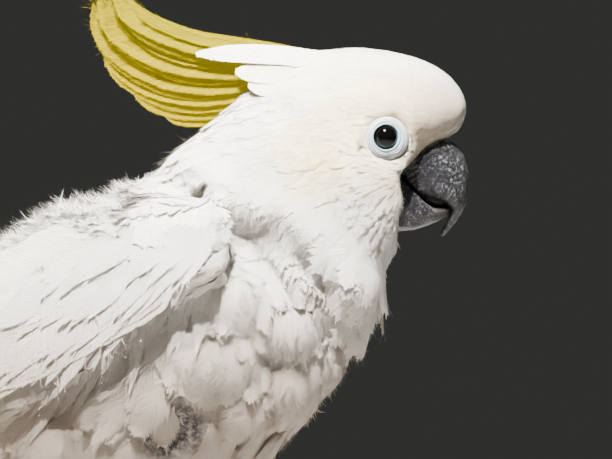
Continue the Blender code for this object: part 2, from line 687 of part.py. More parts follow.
def main():
    """Builds the bird, part by part."""
    parts, whole = build_body()
    half_width_at = surface_finder(whole)
    head_room, neck_room, trunk_room = (
        add_cutter(f"{name}_room", parts[name].data, GAP) for name in ("head", "neck", "trunk")
    )
    build_beak(parts["head"])
    build_eyes(parts["head"], half_width_at)
    build_crest((head_room, neck_room))
    build_wings(half_width_at)
    build_tail(trunk_room)
    for side, label in ((1, "left"), (-1, "right")):
        build_thigh(side, label, trunk_room)
        build_foot(side, label)
    whole.free()


main()
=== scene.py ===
"""Looks of the white cockatoo: one skin, a coat of modelled feathers, beak, eyes, feet, and the studio.

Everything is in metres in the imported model's frame: +X the way the bird faces, +Y its left side, +Z up.
"""

import logging
import math
from dataclasses import dataclass
from enum import Enum

import bmesh
import bpy
import numpy as np
from mathutils import Matrix, Vector, kdtree
from mathutils.bvhtree import BVHTree


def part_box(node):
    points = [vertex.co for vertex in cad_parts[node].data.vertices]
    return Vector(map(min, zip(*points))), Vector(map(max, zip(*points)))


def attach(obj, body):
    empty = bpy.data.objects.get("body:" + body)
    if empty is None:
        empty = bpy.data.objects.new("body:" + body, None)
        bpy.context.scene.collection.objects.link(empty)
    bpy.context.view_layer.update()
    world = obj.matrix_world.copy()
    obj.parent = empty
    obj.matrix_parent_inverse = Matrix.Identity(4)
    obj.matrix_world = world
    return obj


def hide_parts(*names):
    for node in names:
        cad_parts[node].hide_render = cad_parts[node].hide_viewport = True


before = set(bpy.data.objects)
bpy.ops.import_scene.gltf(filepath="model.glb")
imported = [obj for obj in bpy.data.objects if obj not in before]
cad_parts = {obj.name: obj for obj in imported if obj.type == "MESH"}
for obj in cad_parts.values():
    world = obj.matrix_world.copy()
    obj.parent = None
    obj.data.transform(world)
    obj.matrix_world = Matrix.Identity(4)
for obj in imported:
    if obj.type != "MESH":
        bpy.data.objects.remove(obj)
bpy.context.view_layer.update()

LOG = logging.getLogger("cockatoo")
MM = 0.001
BODY = "root"
SEED = 4207
SIDES = ((1, "left"), (-1, "right"))
BUFF = (0.80, 0.66, 0.46)  # the warmer, darker tint at brow and beak base and on the wing's stained places
UNDERSIDE_SHADE = (0.60, 0.52, 0.465)  # painted shade: how much darker and warmer the underparts are made

Colour = tuple[float, float, float]
Place = tuple[float, float, float]
Pair = tuple[float, float]
Line = tuple[Pair, ...]
Spot = tuple[Place, float, float]  # centre on the left side, radius, strength
Finishes = dict[str, bpy.types.Material]
Socket = bpy.types.NodeSocket
Sockets = bpy.types.bpy_prop_collection


class Slot(Enum):
    """The record's material slots."""

    WHITE = "white_plumage"
    WING = "wing_feathers"
    TAIL = "tail_feathers"
    CREST = "yellow_crest"
    BEAK = "beak_horn"
    EYE = "eye_dark"
    RING = "eye_ring_skin"
    FOOT = "foot_skin"
    CLAW = "claw_horn"


# --------------------------------------------------------------------------------------------------
# Small helpers


def settle(piece: bpy.types.Object, slot: Slot, *nodes: str) -> bpy.types.Object:
    """Rides a piece on the body and hides the nodes it stands for.

    Args:
        piece: the finished piece, its object at the origin.
        slot: the record's material slot; not used.
        nodes: names of the frame's nodes that the piece replaces.

    Returns:
        The same piece.
    """
    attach(piece, BODY)
    if nodes:
        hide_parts(*nodes)
    LOG.info("%s: %d faces", piece.name, len(piece.data.polygons))
    return piece


def add_piece(name: str, mesh: bpy.types.Mesh, material: bpy.types.Material) -> bpy.types.Object:
    """Puts a mesh in the scene at the origin.

    Args:
        name: the piece's name.
        mesh: its mesh, in place.
        material: its finish.

    Returns:
        The new object.
    """
    piece = bpy.data.objects.new(name, mesh)
    bpy.context.scene.collection.objects.link(piece)
    mesh.materials.clear()
    mesh.materials.append(material)
    return piece


def node_shape(*names: str) -> bmesh.types.BMesh:
    """Copies of the named nodes in one bmesh, their doubles merged."""
    shape = bmesh.new()
    for name in names:
        shape.from_mesh(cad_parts[name].data)
    bmesh.ops.remove_doubles(shape, verts=shape.verts, dist=1e-6)
    return shape


def mesh_arrays(mesh: bpy.types.Mesh) -> tuple[np.ndarray, np.ndarray]:
    """The points and the vertex normals of a mesh, as rows of x, y, z."""
    points, normals = np.empty(len(mesh.vertices) * 3), np.empty(len(mesh.vertices) * 3)
    mesh.vertices.foreach_get("co", points)
    mesh.vertex_normals.foreach_get("vector", normals)
    return points.reshape(-1, 3), normals.reshape(-1, 3)


def as_mesh(shape: bmesh.types.BMesh, name: str) -> bpy.types.Mesh:
    """A mesh of a shape, shaded smooth. The shape is freed."""
    mesh = bpy.data.meshes.new(name)
    shape.to_mesh(mesh)
    shape.free()
    mesh.shade_smooth()
    return mesh


def keep_values(mesh: bpy.types.Mesh, name: str, *values: np.ndarray | float) -> None:
    """Stores three values, each one number or one for every point, under a name that finishes read."""
    rows = np.ones((len(mesh.vertices), 4), dtype=np.float32)
    for column, value in enumerate(values):
        rows[:, column] = value
    mesh.attributes.new(name, "FLOAT_COLOR", "POINT").data.foreach_set("color", rows.ravel())


def relax(mesh: bpy.types.Mesh, rounds: int) -> None:
    """Smooths a mesh a number of times and turns its faces outwards."""
    shape = bmesh.new()
    shape.from_mesh(mesh)
    for _ in range(rounds):
        bmesh.ops.smooth_vert(
            shape, verts=shape.verts, factor=0.5, use_axis_x=True, use_axis_y=True, use_axis_z=True
        )
    bmesh.ops.recalc_face_normals(shape, faces=shape.faces)
    shape.to_mesh(mesh)
    shape.free()


def remeshed(shape: bmesh.types.BMesh, voxel: float, rounds: int, name: str) -> bpy.types.Mesh:
    """One even closed surface round a shape.

    Args:
        shape: the shape, which is freed.
        voxel: the grid's pitch.
        rounds: how many times the result is relaxed.
        name: the mesh's name.

    Returns:
        The new mesh, shaded smooth.
    """
    rough = as_mesh(shape, f"{name}_rough")
    holder = bpy.data.objects.new(f"{name}_holder", rough)
    bpy.context.scene.collection.objects.link(holder)
    grid = holder.modifiers.new("grid", "REMESH")
    grid.mode = "VOXEL"
    grid.voxel_size = voxel
    graph = bpy.context.evaluated_depsgraph_get()
    fine = bpy.data.meshes.new_from_object(holder.evaluated_get(graph))
    bpy.data.objects.remove(holder)
    bpy.data.meshes.remove(rough)
    relax(fine, rounds)
    fine.name = name
    fine.shade_smooth()
    return fine


def unit(v: np.ndarray) -> np.ndarray:
    """The vectors along the last axis, made one long."""
    return v / np.maximum(np.linalg.norm(v, axis=-1, keepdims=True), 1e-12)


def smooth_path(points: list[tuple[float, ...]], count: int) -> np.ndarray:
    """Evenly numbered points on a smooth curve through a few points.

    Args:
        points: the curve's own points.
        count: how many points to read from it.

    Returns:
        An array of count rows.
    """
    p = np.asarray(points, dtype=float)
    p = np.vstack((2 * p[0] - p[1], p, 2 * p[-1] - p[-2]))
    t = np.linspace(0, len(points) - 1, count)
    i = np.minimum(t.astype(int), len(points) - 2)
    f = (t - i)[:, None]
    a, b, c, d = p[i], p[i + 1], p[i + 2], p[i + 3]
    return 0.5 * (2 * b + (c - a) * f + (2 * a - 5 * b + 4 * c - d) * f**2 + (3 * b - 3 * c + d - a) * f**3)


def side_of_line(points: np.ndarray, line: np.ndarray) -> np.ndarray:
    """How far points are from a line in the side view, positive above or ahead of it.

    Args:
        points: rows of x, y, z.
        line: rows of x, z along the line, from the bird's rear to its front.

    Returns:
        One signed distance for each point.
    """
    p = points[:, [0, 2]]
    best = np.full(len(p), 1e9)
    sign = np.ones(len(p))
    for a, b in zip(line, line[1:]):
        run = b - a
        t = np.clip(((p - a) @ run) / (run @ run), 0, 1)
        off = p - (a + t[:, None] * run)
        gap = np.linalg.norm(off, axis=1)
        above = run[0] * (p[:, 1] - a[1]) - run[1] * (p[:, 0] - a[0])
        closer = gap < best
        best = np.where(closer, gap, best)
        sign = np.where(closer, np.where(above >= 0, 1.0, -1.0), sign)
    return best * sign


# --------------------------------------------------------------------------------------------------
# Finishes


class Nodes:
    """A small writer of shader nodes for one material or group."""

    def __init__(self, tree: bpy.types.NodeTree) -> None:
        """Keeps the tree to write in."""
        self.tree = tree

    def add(self, kind: str, **values: object) -> bpy.types.Node:
        """Adds a node.

        Args:
            kind: the node's type name.
            values: its attributes.

        Returns:
            The node.
        """
        node = self.tree.nodes.new(kind)
        for key, value in values.items():
            setattr(node, key, value)
        return node

    def fill(self, node: bpy.types.Node, values: dict[str | int, object]) -> bpy.types.Node:
        """Sets a node's inputs, or links them where the value is a socket.

        Args:
            node: the node.
            values: constants or sockets by the input's name or number.

        Returns:
            The node.
        """
        for key, value in values.items():
            if isinstance(value, Socket):
                self.tree.links.new(value, node.inputs[key])
            else:
                node.inputs[key].default_value = value
        return node

    def where(self) -> Socket:
        """Object coordinates."""
        return self.add("ShaderNodeTexCoord").outputs["Object"]

    def parts(self, where: Socket) -> Sockets:
        """The x, y and z of a vector."""
        return self.fill(self.add("ShaderNodeSeparateXYZ"), {0: where}).outputs

    def vector(self, x: object, y: object, z: object = 0.0) -> Socket:
        """A vector from its x, y and z."""
        return self.fill(self.add("ShaderNodeCombineXYZ"), {0: x, 1: y, 2: z}).outputs[0]

    def stored(self, name: str) -> Sockets:
        """The three values that a mesh keeps under a name."""
        kept = self.add("ShaderNodeAttribute", attribute_name=name).outputs["Color"]
        return self.fill(self.add("ShaderNodeSeparateColor"), {0: kept}).outputs

    def math(self, operation: str, a: object, b: object = 0.0) -> Socket:
        """The result of a Math node."""
        return self.fill(self.add("ShaderNodeMath", operation=operation), {0: a, 1: b}).outputs[0]

    def times(self, a: object, b: object) -> Socket:
        """Two values multiplied."""
        return self.math("MULTIPLY", a, b)

    def most(self, a: object, b: object) -> Socket:
        """The greater of two values."""
        return self.math("MAXIMUM", a, b)

    def mix(self, amount: object, a: object, b: object, blend: str = "MIX") -> Socket:
        """The colour from a Mix node, between two colours that are constants or sockets."""
        node = self.add("ShaderNodeMix", data_type="RGBA", blend_type=blend)
        first, second = ((*end, 1.0) if isinstance(end, tuple) else end for end in (a, b))
        return self.fill(node, {0: amount, 6: first, 7: second}).outputs[2]

    def ramp(self, value: object, low: float, high: float, to_low: float = 0.0, to_high: float = 1.0) -> Socket:
        """A value taken from one range to another, held at its ends, with a soft step."""
        node = self.add("ShaderNodeMapRange", interpolation_type="SMOOTHSTEP")
        return self.fill(node, dict(enumerate((value, low, high, to_low, to_high)))).outputs[0]

    def noise_node(self, where: Socket, scale: float, detail: float, rough: float) -> bpy.types.Node:
        """A Noise Texture."""
        values = {"Vector": where, "Scale": scale, "Detail": detail, "Roughness": rough}
        return self.fill(self.add("ShaderNodeTexNoise"), values)

    def noise(self, where: Socket, scale: float, detail: float = 3.0, rough: float = 0.55) -> Socket:
        """The value of a Noise Texture."""
        return self.noise_node(where, scale, detail, rough).outputs["Fac"]

    def bent(self, where: Socket, scale: float, reach: float) -> Socket:
        """Places shifted about by a Noise Texture's colour, up to half the reach each way."""
        colour = self.noise_node(where, scale, 2.0, 0.5).outputs["Color"]
        shift = self.fill(self.add("ShaderNodeVectorMath", operation="SUBTRACT"), {0: colour, 1: (0.5, 0.5, 0.5)})
        moved = self.add("ShaderNodeVectorMath", operation="MULTIPLY_ADD")
        return self.fill(moved, {0: shift.outputs[0], 1: (reach, reach, reach), 2: where}).outputs[0]

    def spot(self, where: Socket, centre: Colour, radius: float, strength: float = 1.0) -> Socket:
        """A soft round mask on both sides of the bird.

        Args:
            where: object coordinates.
            centre: the spot's centre on the left side.
            radius: where the mask has faded to nothing.
            strength: the mask at the centre.

        Returns:
            The mask.
        """
        x, y, z = self.parts(where)
        gap = self.add("ShaderNodeVectorMath", operation="DISTANCE")
        self.fill(gap, {0: self.vector(x, self.math("ABSOLUTE", y), z), 1: centre})
        return self.ramp(gap.outputs["Value"], 0.0, radius, strength, 0.0)

    def group(self, tree: bpy.types.NodeTree, **values: float) -> Sockets:
        """The outputs of a node group, its inputs set by name."""
        return self.fill(self.add("ShaderNodeGroup", node_tree=tree), values).outputs


class Surface(Nodes):
    """A writer for the nodes of a new material with its own Principled shader."""

    def __init__(self, name: str) -> None:
        """Makes the material."""
        self.material = bpy.data.materials.new(name)
        self.material.use_nodes = True
        super().__init__(self.material.node_tree)

    def dress(self, inputs: dict[str, object], height: Socket | None = None, strength: float = 0.0,
              depth: float = 0.0) -> bpy.types.Material:
        """Sets the shader's inputs.

        Args:
            inputs: constants or sockets by the input's name.
            height: what raises the surface, if anything does.
            strength: how strongly.
            depth: how far, in metres.

        Returns:
            The material.
        """
        if height is not None:
            bump = self.add("ShaderNodeBump")
            self.fill(bump, {"Height": height, "Strength": strength, "Distance": depth})
            inputs = {**inputs, "Normal": bump.outputs[0]}
        self.fill(self.tree.nodes["Principled BSDF"], inputs)
        return self.material

    def mark(self, colour: Socket, marks: Sockets, yellow: Colour, share: float) -> Socket:
        """A plumage colour with its yellow and buff places, and painted shade on the underparts.

        Args:
            colour: the plain colour.
            marks: the outputs of the group of markings.
            yellow: what the yellow places are dyed with.
            share: how strongly.

        Returns:
            The marked colour.
        """
        # the last of these darkens the underparts as painted shade
        for name, amount, dye in (("Yellow", share, yellow), ("Buff", 0.8, BUFF), ("UndersideShade", 1.0, UNDERSIDE_SHADE)):
            colour = self.mix(self.times(marks[name], amount), colour, dye, "MULTIPLY")
        return colour


def new_group(name: str, inputs: dict[str, float], outputs: tuple[str, ...]) -> bpy.types.NodeTree:
    """An empty shader node group with named number sockets.

    Args:
        name: the group's name.
        inputs: default values by the input's name.
        outputs: the outputs' names.

    Returns:
        The group.
    """
    group = bpy.data.node_groups.new(name, "ShaderNodeTree")
    for label, default in inputs.items():
        made = group.interface.new_socket(label, in_out="INPUT", socket_type="NodeSocketFloat")
        made.default_value = default
    for label in outputs:
        group.interface.new_socket(label, in_out="OUTPUT", socket_type="NodeSocketFloat")
    return group


@dataclass(frozen=True)
class Markings:
    """Where the plumage is yellow, buff or bare, and where shade is painted on the gaps and underparts: spots given
    by centre, radius and strength.
    """

    cheek: tuple[Spot, ...] = (((0.155, 0.034, 0.236), 0.034, 1.0), ((0.186, 0.024, 0.226), 0.022, 0.45))
    faint: tuple[Spot, ...] = (((0.172, 0.022, 0.250), 0.052, 0.50), ((-0.02, 0.045, 0.075), 0.06, 0.35))
    # warmer and darker at the brow and beak base
    brow: tuple[Spot, ...] = (((0.205, 0.008, 0.240), 0.022, 1.0), ((0.206, 0.020, 0.252), 0.034, 0.8))
    wing: Spot = ((0.03, 0.055, 0.16), 0.075, 0.55)
    # gaps where grey down shows, painted near black there as the gaps' shade
    bare: tuple[Spot, ...] = (((0.1355, 0.046, 0.142), 0.013, 1.0), ((0.092, 0.046, 0.111), 0.026, 1.0))
    underside_shade_heights: Pair = (0.112, 0.196)  # between which the painted shade on the underparts fades upwards
    underside_shade_rear: Pair = (-0.09, -0.01)  # between which it begins, from the rear

    def make(self) -> bpy.types.NodeTree:
        """Builds the group, which skin and coat share."""
        tree = new_group("plumage_markings", {}, ("Yellow", "Buff", "GreyGapShade", "UndersideShade"))
        n = Nodes(tree)
        where = n.where()

        def both(spots: tuple[Spot, ...]) -> Socket:
            """The greater of two spots."""
            return n.most(n.spot(where, *spots[0]), n.spot(where, *spots[1]))

        patchy = n.ramp(n.noise(where, 90.0), 0.3, 0.7, 0.5, 1.0)
        stain = n.ramp(n.noise(where, 38.0, 4.0, 0.6), 0.60, 0.78)
        x, _, z = n.parts(where)
        n.fill(n.add("NodeGroupOutput"), {
            "Yellow": n.most(n.times(both(self.cheek), patchy), both(self.faint)),
            "Buff": n.most(both(self.brow), n.times(stain, n.spot(where, *self.wing))),
            # the gaps' grey down, which the skin paints near black as shade
            "GreyGapShade": n.ramp(both(self.bare), 0.1, 0.6),
            # painted shade: the underparts darker towards the bottom, fading out towards the rear
            "UndersideShade": n.times(n.ramp(z, *self.underside_shade_heights, 1.0, 0.0), n.ramp(x, *self.underside_shade_rear)),
        })
        return tree


@dataclass(frozen=True)
class BarbLines:
    """Fine lines along the barbs of a vane, read from its Vane map, and different on each feather."""

    waver: float = 0.6  # how fast the lines change along a barb
    step: float = 40.0  # how far apart two feathers' patterns may lie

    def make(self) -> bpy.types.NodeTree:
        """Builds the group."""
        tree = new_group("barb_lines", {"Lines": 60.0}, ("Mask",))
        n = Nodes(tree)
        lines = n.add("NodeGroupInput").outputs["Lines"]
        u, v, _ = n.parts(n.add("ShaderNodeUVMap", uv_map="Vane").outputs[0])
        _, chance, _ = n.stored("Feather")
        place = n.vector(n.times(u, lines), n.times(v, self.waver), n.times(chance, self.step))
        n.fill(n.add("NodeGroupOutput"), {"Mask": n.ramp(n.noise(place, 1.0, 2.0, 0.6), 0.32, 0.66)})
        return tree


@dataclass(frozen=True)
class FeatherFinish:
    """The finish of one kind of feather."""

    name: str
    tip: Colour
    base: Colour
    shade_end: float = 0.55  # how far along the vane the darker base reaches
    yellow: Colour = (0.97, 0.86, 0.34)
    lines: float = 95.0
    line_shade: float = 0.20
    chance_shade: float = 0.10  # how much darker a feather may be than the next
    bump: float = 0.5
    rough: float = 0.78
    own_yellow: Colour = (0.93, 0.80, 0.30)
    gloss: float = 0.25
    sheen: float = 0.12
    painted_glow: float = 0.0  # painted glow: the vane's own colour emitted, standing in for light that comes through it

    def make(self, markings: bpy.types.NodeTree, barbs: bpy.types.NodeTree) -> bpy.types.Material:
        """Builds the material.

        Args:
            markings: the group of markings by place.
            barbs: the group of barb lines.

        Returns:
            The material.
        """
        n = Surface(self.name)
        along, chance, tint = n.stored("Feather")
        colour = n.mix(n.ramp(along, 0.05, self.shade_end), self.base, self.tip)
        colour = n.mark(colour, n.group(markings), self.yellow, 1.0)
        colour = n.mix(tint, colour, self.own_yellow)
        lines = n.group(barbs, Lines=self.lines)["Mask"]
        dark = n.times(n.math("SUBTRACT", 1.0, lines), self.line_shade)
        level = n.math("SUBTRACT", 1.0, n.math("ADD", dark, n.times(chance, self.chance_shade)))
        grey = n.fill(n.add("ShaderNodeCombineColor"), {0: level, 1: level, 2: level}).outputs[0]
        shaded = n.mix(1.0, colour, grey, "MULTIPLY")
        inputs = {
            "Base Color": shaded, "Roughness": self.rough, "Specular IOR Level": self.gloss,
            "Sheen Weight": self.sheen, "Sheen Roughness": 0.5,
        }
        # painted glow: the vane glows in its own colour, though it is no lamp
        if self.painted_glow:
            inputs.update({"Emission Color": shaded, "Emission Strength": self.painted_glow})
        return n.dress(inputs, lines, self.bump, 0.4 * MM)


@dataclass(frozen=True)
class SkinFinish:
    """Down over pinkish-grey skin, seen only where the coat parts, with painted shade in the gaps."""

    down: Colour = (0.90, 0.875, 0.83)
    shade: Colour = (0.76, 0.73, 0.69)
    # grey down in the gaps, painted near black as their shade
    bare: Colour = (0.060, 0.052, 0.058)
    yellow: Colour = (0.93, 0.80, 0.42)

    def make(self, markings: bpy.types.NodeTree) -> bpy.types.Material:
        """Builds the material with the markings that the coat carries."""
        n = Surface("skin_down")
        where = n.where()
        marks = n.group(markings)
        colour = n.mix(n.ramp(n.noise(where, 160.0, 5.0, 0.7), 0.35, 0.65), self.shade, self.down)
        colour = n.mark(colour, marks, self.yellow, 0.6)
        patchy = n.ramp(n.noise(where, 420.0, 4.0, 0.7), 0.3, 0.6, 0.35, 1.0)
        # painted shade: the gaps' grey down made near black
        colour = n.mix(n.times(marks["GreyGapShade"], patchy), colour, self.bare)
        return n.dress({"Base Color": colour, "Roughness": 0.9}, n.noise(where, 700.0, 4.0, 0.7), 0.6, 1.0 * MM)


@dataclass(frozen=True)
class BeakFinish:
    """Charcoal horn with pale worn powder, paler streaks along the ridge, a brown cutting edge, and near-black
    painted shade inside the mouth.
    """

    horn: Colour = (0.010, 0.010, 0.012)
    powder: Colour = (0.185, 0.188, 0.205)
    edge: Colour = (0.075, 0.036, 0.022)
    mouth_shade_tone: Colour = (0.004, 0.0035, 0.004)
    streak_shape: Colour = (1.0, 1.4, 0.16)  # how the streaks' pattern is squeezed, drawn out along z

    def make(self) -> bpy.types.Material:
        """Builds the material."""
        n = Surface("beak_horn_worn")
        where = n.where()
        curls = n.noise(n.bent(where, 260.0, 1.6 * MM), 900.0, 6.0, 0.75)
        drawn = n.fill(n.add("ShaderNodeMapping"), {"Vector": where, "Scale": self.streak_shape}).outputs[0]
        streaks = n.noise(drawn, 1300.0, 3.0, 0.6)
        patches = n.ramp(n.noise(where, 170.0, 3.0, 0.5), 0.35, 0.60, 0.25, 1.0)
        ridge, rim, mouth_shade = n.stored("WearAndMouthShade")
        worn = n.most(n.times(n.ramp(curls, 0.49, 0.66), patches), n.times(n.ramp(streaks, 0.45, 0.68), ridge))
        colour = n.mix(n.times(worn, 0.85), self.horn, self.powder)
        colour = n.mix(n.times(rim, 0.9), colour, self.edge)
        # painted shade: the mouth's inside near black
        colour = n.mix(mouth_shade, colour, self.mouth_shade_tone)
        height = n.math("ADD", n.times(curls, 0.8), n.times(streaks, 0.4))
        return n.dress({"Base Color": colour, "Roughness": n.ramp(worn, 0.0, 1.0, 0.34, 0.7)}, height, 0.5, 0.5 * MM)


@dataclass(frozen=True)
class EyeFinish:
    """A wet dark eye: black pupil and a very dark brown iris under a clear cornea."""

    pupil: Colour = (0.0012, 0.0012, 0.0012)
    iris: Colour = (0.0045, 0.003, 0.0022)

    def make(self) -> bpy.types.Material:
        """Builds the material."""
        n = Surface("eye_wet")
        out, _, _ = n.stored("Gaze")
        speckle = n.ramp(n.noise(n.where(), 2600.0, 3.0, 0.6), 0.4, 0.7, 0.55, 1.0)
        colour = n.mix(n.times(n.ramp(out, 0.50, 0.56), speckle), self.pupil, self.iris)
        return n.dress({"Base Color": colour, "Roughness": 0.05, "IOR": 1.38})


@dataclass(frozen=True)
class RingFinish:
    """Bare pale skin round the eye, blue at the lid's rim and wrinkled in rings, with painted shade in the creases.
    """

    rim: Colour = (0.30, 0.50, 0.62)
    skin: Colour = (0.50, 0.54, 0.55)
    crease_shade: Colour = (0.20, 0.23, 0.24)
    rings: float = 16.0  # how many wrinkles cross the ring, and how many go round it
    spokes: float = 10.0

    def make(self) -> bpy.types.Material:
        """Builds the material."""
        n = Surface("eye_ring_bare")
        out, round_about, _ = n.stored("Gaze")
        place = n.vector(n.times(out, self.rings), n.times(round_about, self.spokes))
        wrinkle = n.noise(place, 1.0, 3.0, 0.6)
        colour = n.mix(n.ramp(out, 0.22, 0.42), self.rim, self.skin)
        # painted shade: darker where the wrinkles' bump is low
        colour = n.mix(n.ramp(wrinkle, 0.56, 0.34, 0.0, 0.70), colour, self.crease_shade)
        height = n.math("ADD", wrinkle, n.times(n.noise(n.where(), 1800.0), 0.3))
        return n.dress({"Base Color": colour, "Roughness": 0.48}, height, 0.7, 0.4 * MM)


@dataclass(frozen=True)
class FootFinish:
    """Dark grey scaled skin with pale dusty seams."""

    scale: Colour = (0.060, 0.058, 0.064)
    seam: Colour = (0.26, 0.25, 0.26)

    def make(self) -> bpy.types.Material:
        """Builds the material."""
        n = Surface("foot_scaled")
        where = n.where()
        cells = n.fill(n.add("ShaderNodeTexVoronoi", feature="DISTANCE_TO_EDGE"), {"Vector": where, "Scale": 620.0})
        gap = cells.outputs["Distance"]
        dusty = n.times(n.ramp(gap, 0.02, 0.16, 1.0, 0.0), n.ramp(n.noise(where, 240.0), 0.35, 0.7, 0.3, 1.0))
        inputs = {"Base Color": n.mix(dusty, self.scale, self.seam), "Roughness": 0.62}
        return n.dress(inputs, n.ramp(gap, 0.0, 0.25), 0.8, 0.6 * MM)


@dataclass(frozen=True)
class ClawFinish:
    """Smooth near-black horn, paler where it is worn."""

    horn: Colour = (0.022, 0.020, 0.022)
    worn: Colour = (0.12, 0.11, 0.11)

    def make(self) -> bpy.types.Material:
        """Builds the material."""
        n = Surface("claw_smooth")
        worn = n.ramp(n.noise(n.where(), 520.0, 4.0, 0.6), 0.5, 0.75)
        return n.dress({"Base Color": n.mix(worn, self.horn, self.worn), "Roughness": 0.32})


# --------------------------------------------------------------------------------------------------
# Feathers


@dataclass(frozen=True)
class FeatherKind:
    """The make of one kind of feather. Shares are of the feather's length or half width."""

    barbs: int  # on each side of the shaft
    width: float  # half width, as a share of the length
    rows: int = 5  # points along the shaft
    point: float = 0.45  # where along the length the vane begins to narrow
    taper: float = 2.2  # how round its end is: 1 is a straight point, 3 is blunt
    reach: float = 0.26  # how far barbs sweep towards the tip
    fringe: float = 0.72  # the part of each barb that holds to its neighbours
    fray: float = 0.10
    clump: float = 3.0  # barbs that cling together
    cling: float = 0.5
    camber: float = 0.18  # droop of the edge, as a share of the half width
    droop: float = 0.15  # how the tip falls back from a straight lift
    filaments: int = 0  # loose fine barbs
    filament: float = 0.22  # their length, as a share of the feather's
    stand: float = 0.12  # how far they stand up
    finish: float = 1.07  # where the vane would end in a point
    rachis: bool = False
    spread: float = 0.16  # how far a feather's direction may stray, in radians
    soft: float = 0.75  # how much the shading follows the body instead of the vane
    stiff: float = 0.30  # how far a shaft bends down at each step where the body falls away, as a share of the step


@dataclass
class Shafts:
    """Feathers still to be made: shafts, vane normals, half widths, places on the unwrap, and tints."""

    path: np.ndarray  # feathers by rows by 3
    normal: np.ndarray
    half: np.ndarray
    uv: np.ndarray
    tint: np.ndarray  # how yellow base and tip are

    def __post_init__(self) -> None:
        """Works out the axes along each shaft."""
        self.tangent = unit(np.gradient(self.path, axis=1))
        level = self.tangent * np.sum(self.normal * self.tangent, axis=-1, keepdims=True)
        self.up = unit(self.normal - level)
        self.across = np.cross(self.up, self.tangent)

    def tinted(self, y: np.ndarray) -> np.ndarray:
        """How yellow each feather is at y along it."""
        return self.tint[:, :1] + (self.tint[:, 1:] - self.tint[:, :1]) * np.clip(y, 0, 1)

    def pick(self, mask: np.ndarray) -> "Shafts":
        """Some of the feathers."""
        return Shafts(self.path[mask], self.normal[mask], self.half[mask], self.uv[mask], self.tint[mask])


def read_path(path: np.ndarray, y: np.ndarray) -> np.ndarray:
    """Reads rows (feathers by rows by 3) at shares y (feathers by samples) of each path."""
    t = y * (path.shape[1] - 1)
    i = np.clip(np.floor(t).astype(int), 0, path.shape[1] - 2)
    a = np.take_along_axis(path, i[..., None], axis=1)
    b = np.take_along_axis(path, i[..., None] + 1, axis=1)
    return a + (b - a) * (t - i)[..., None]


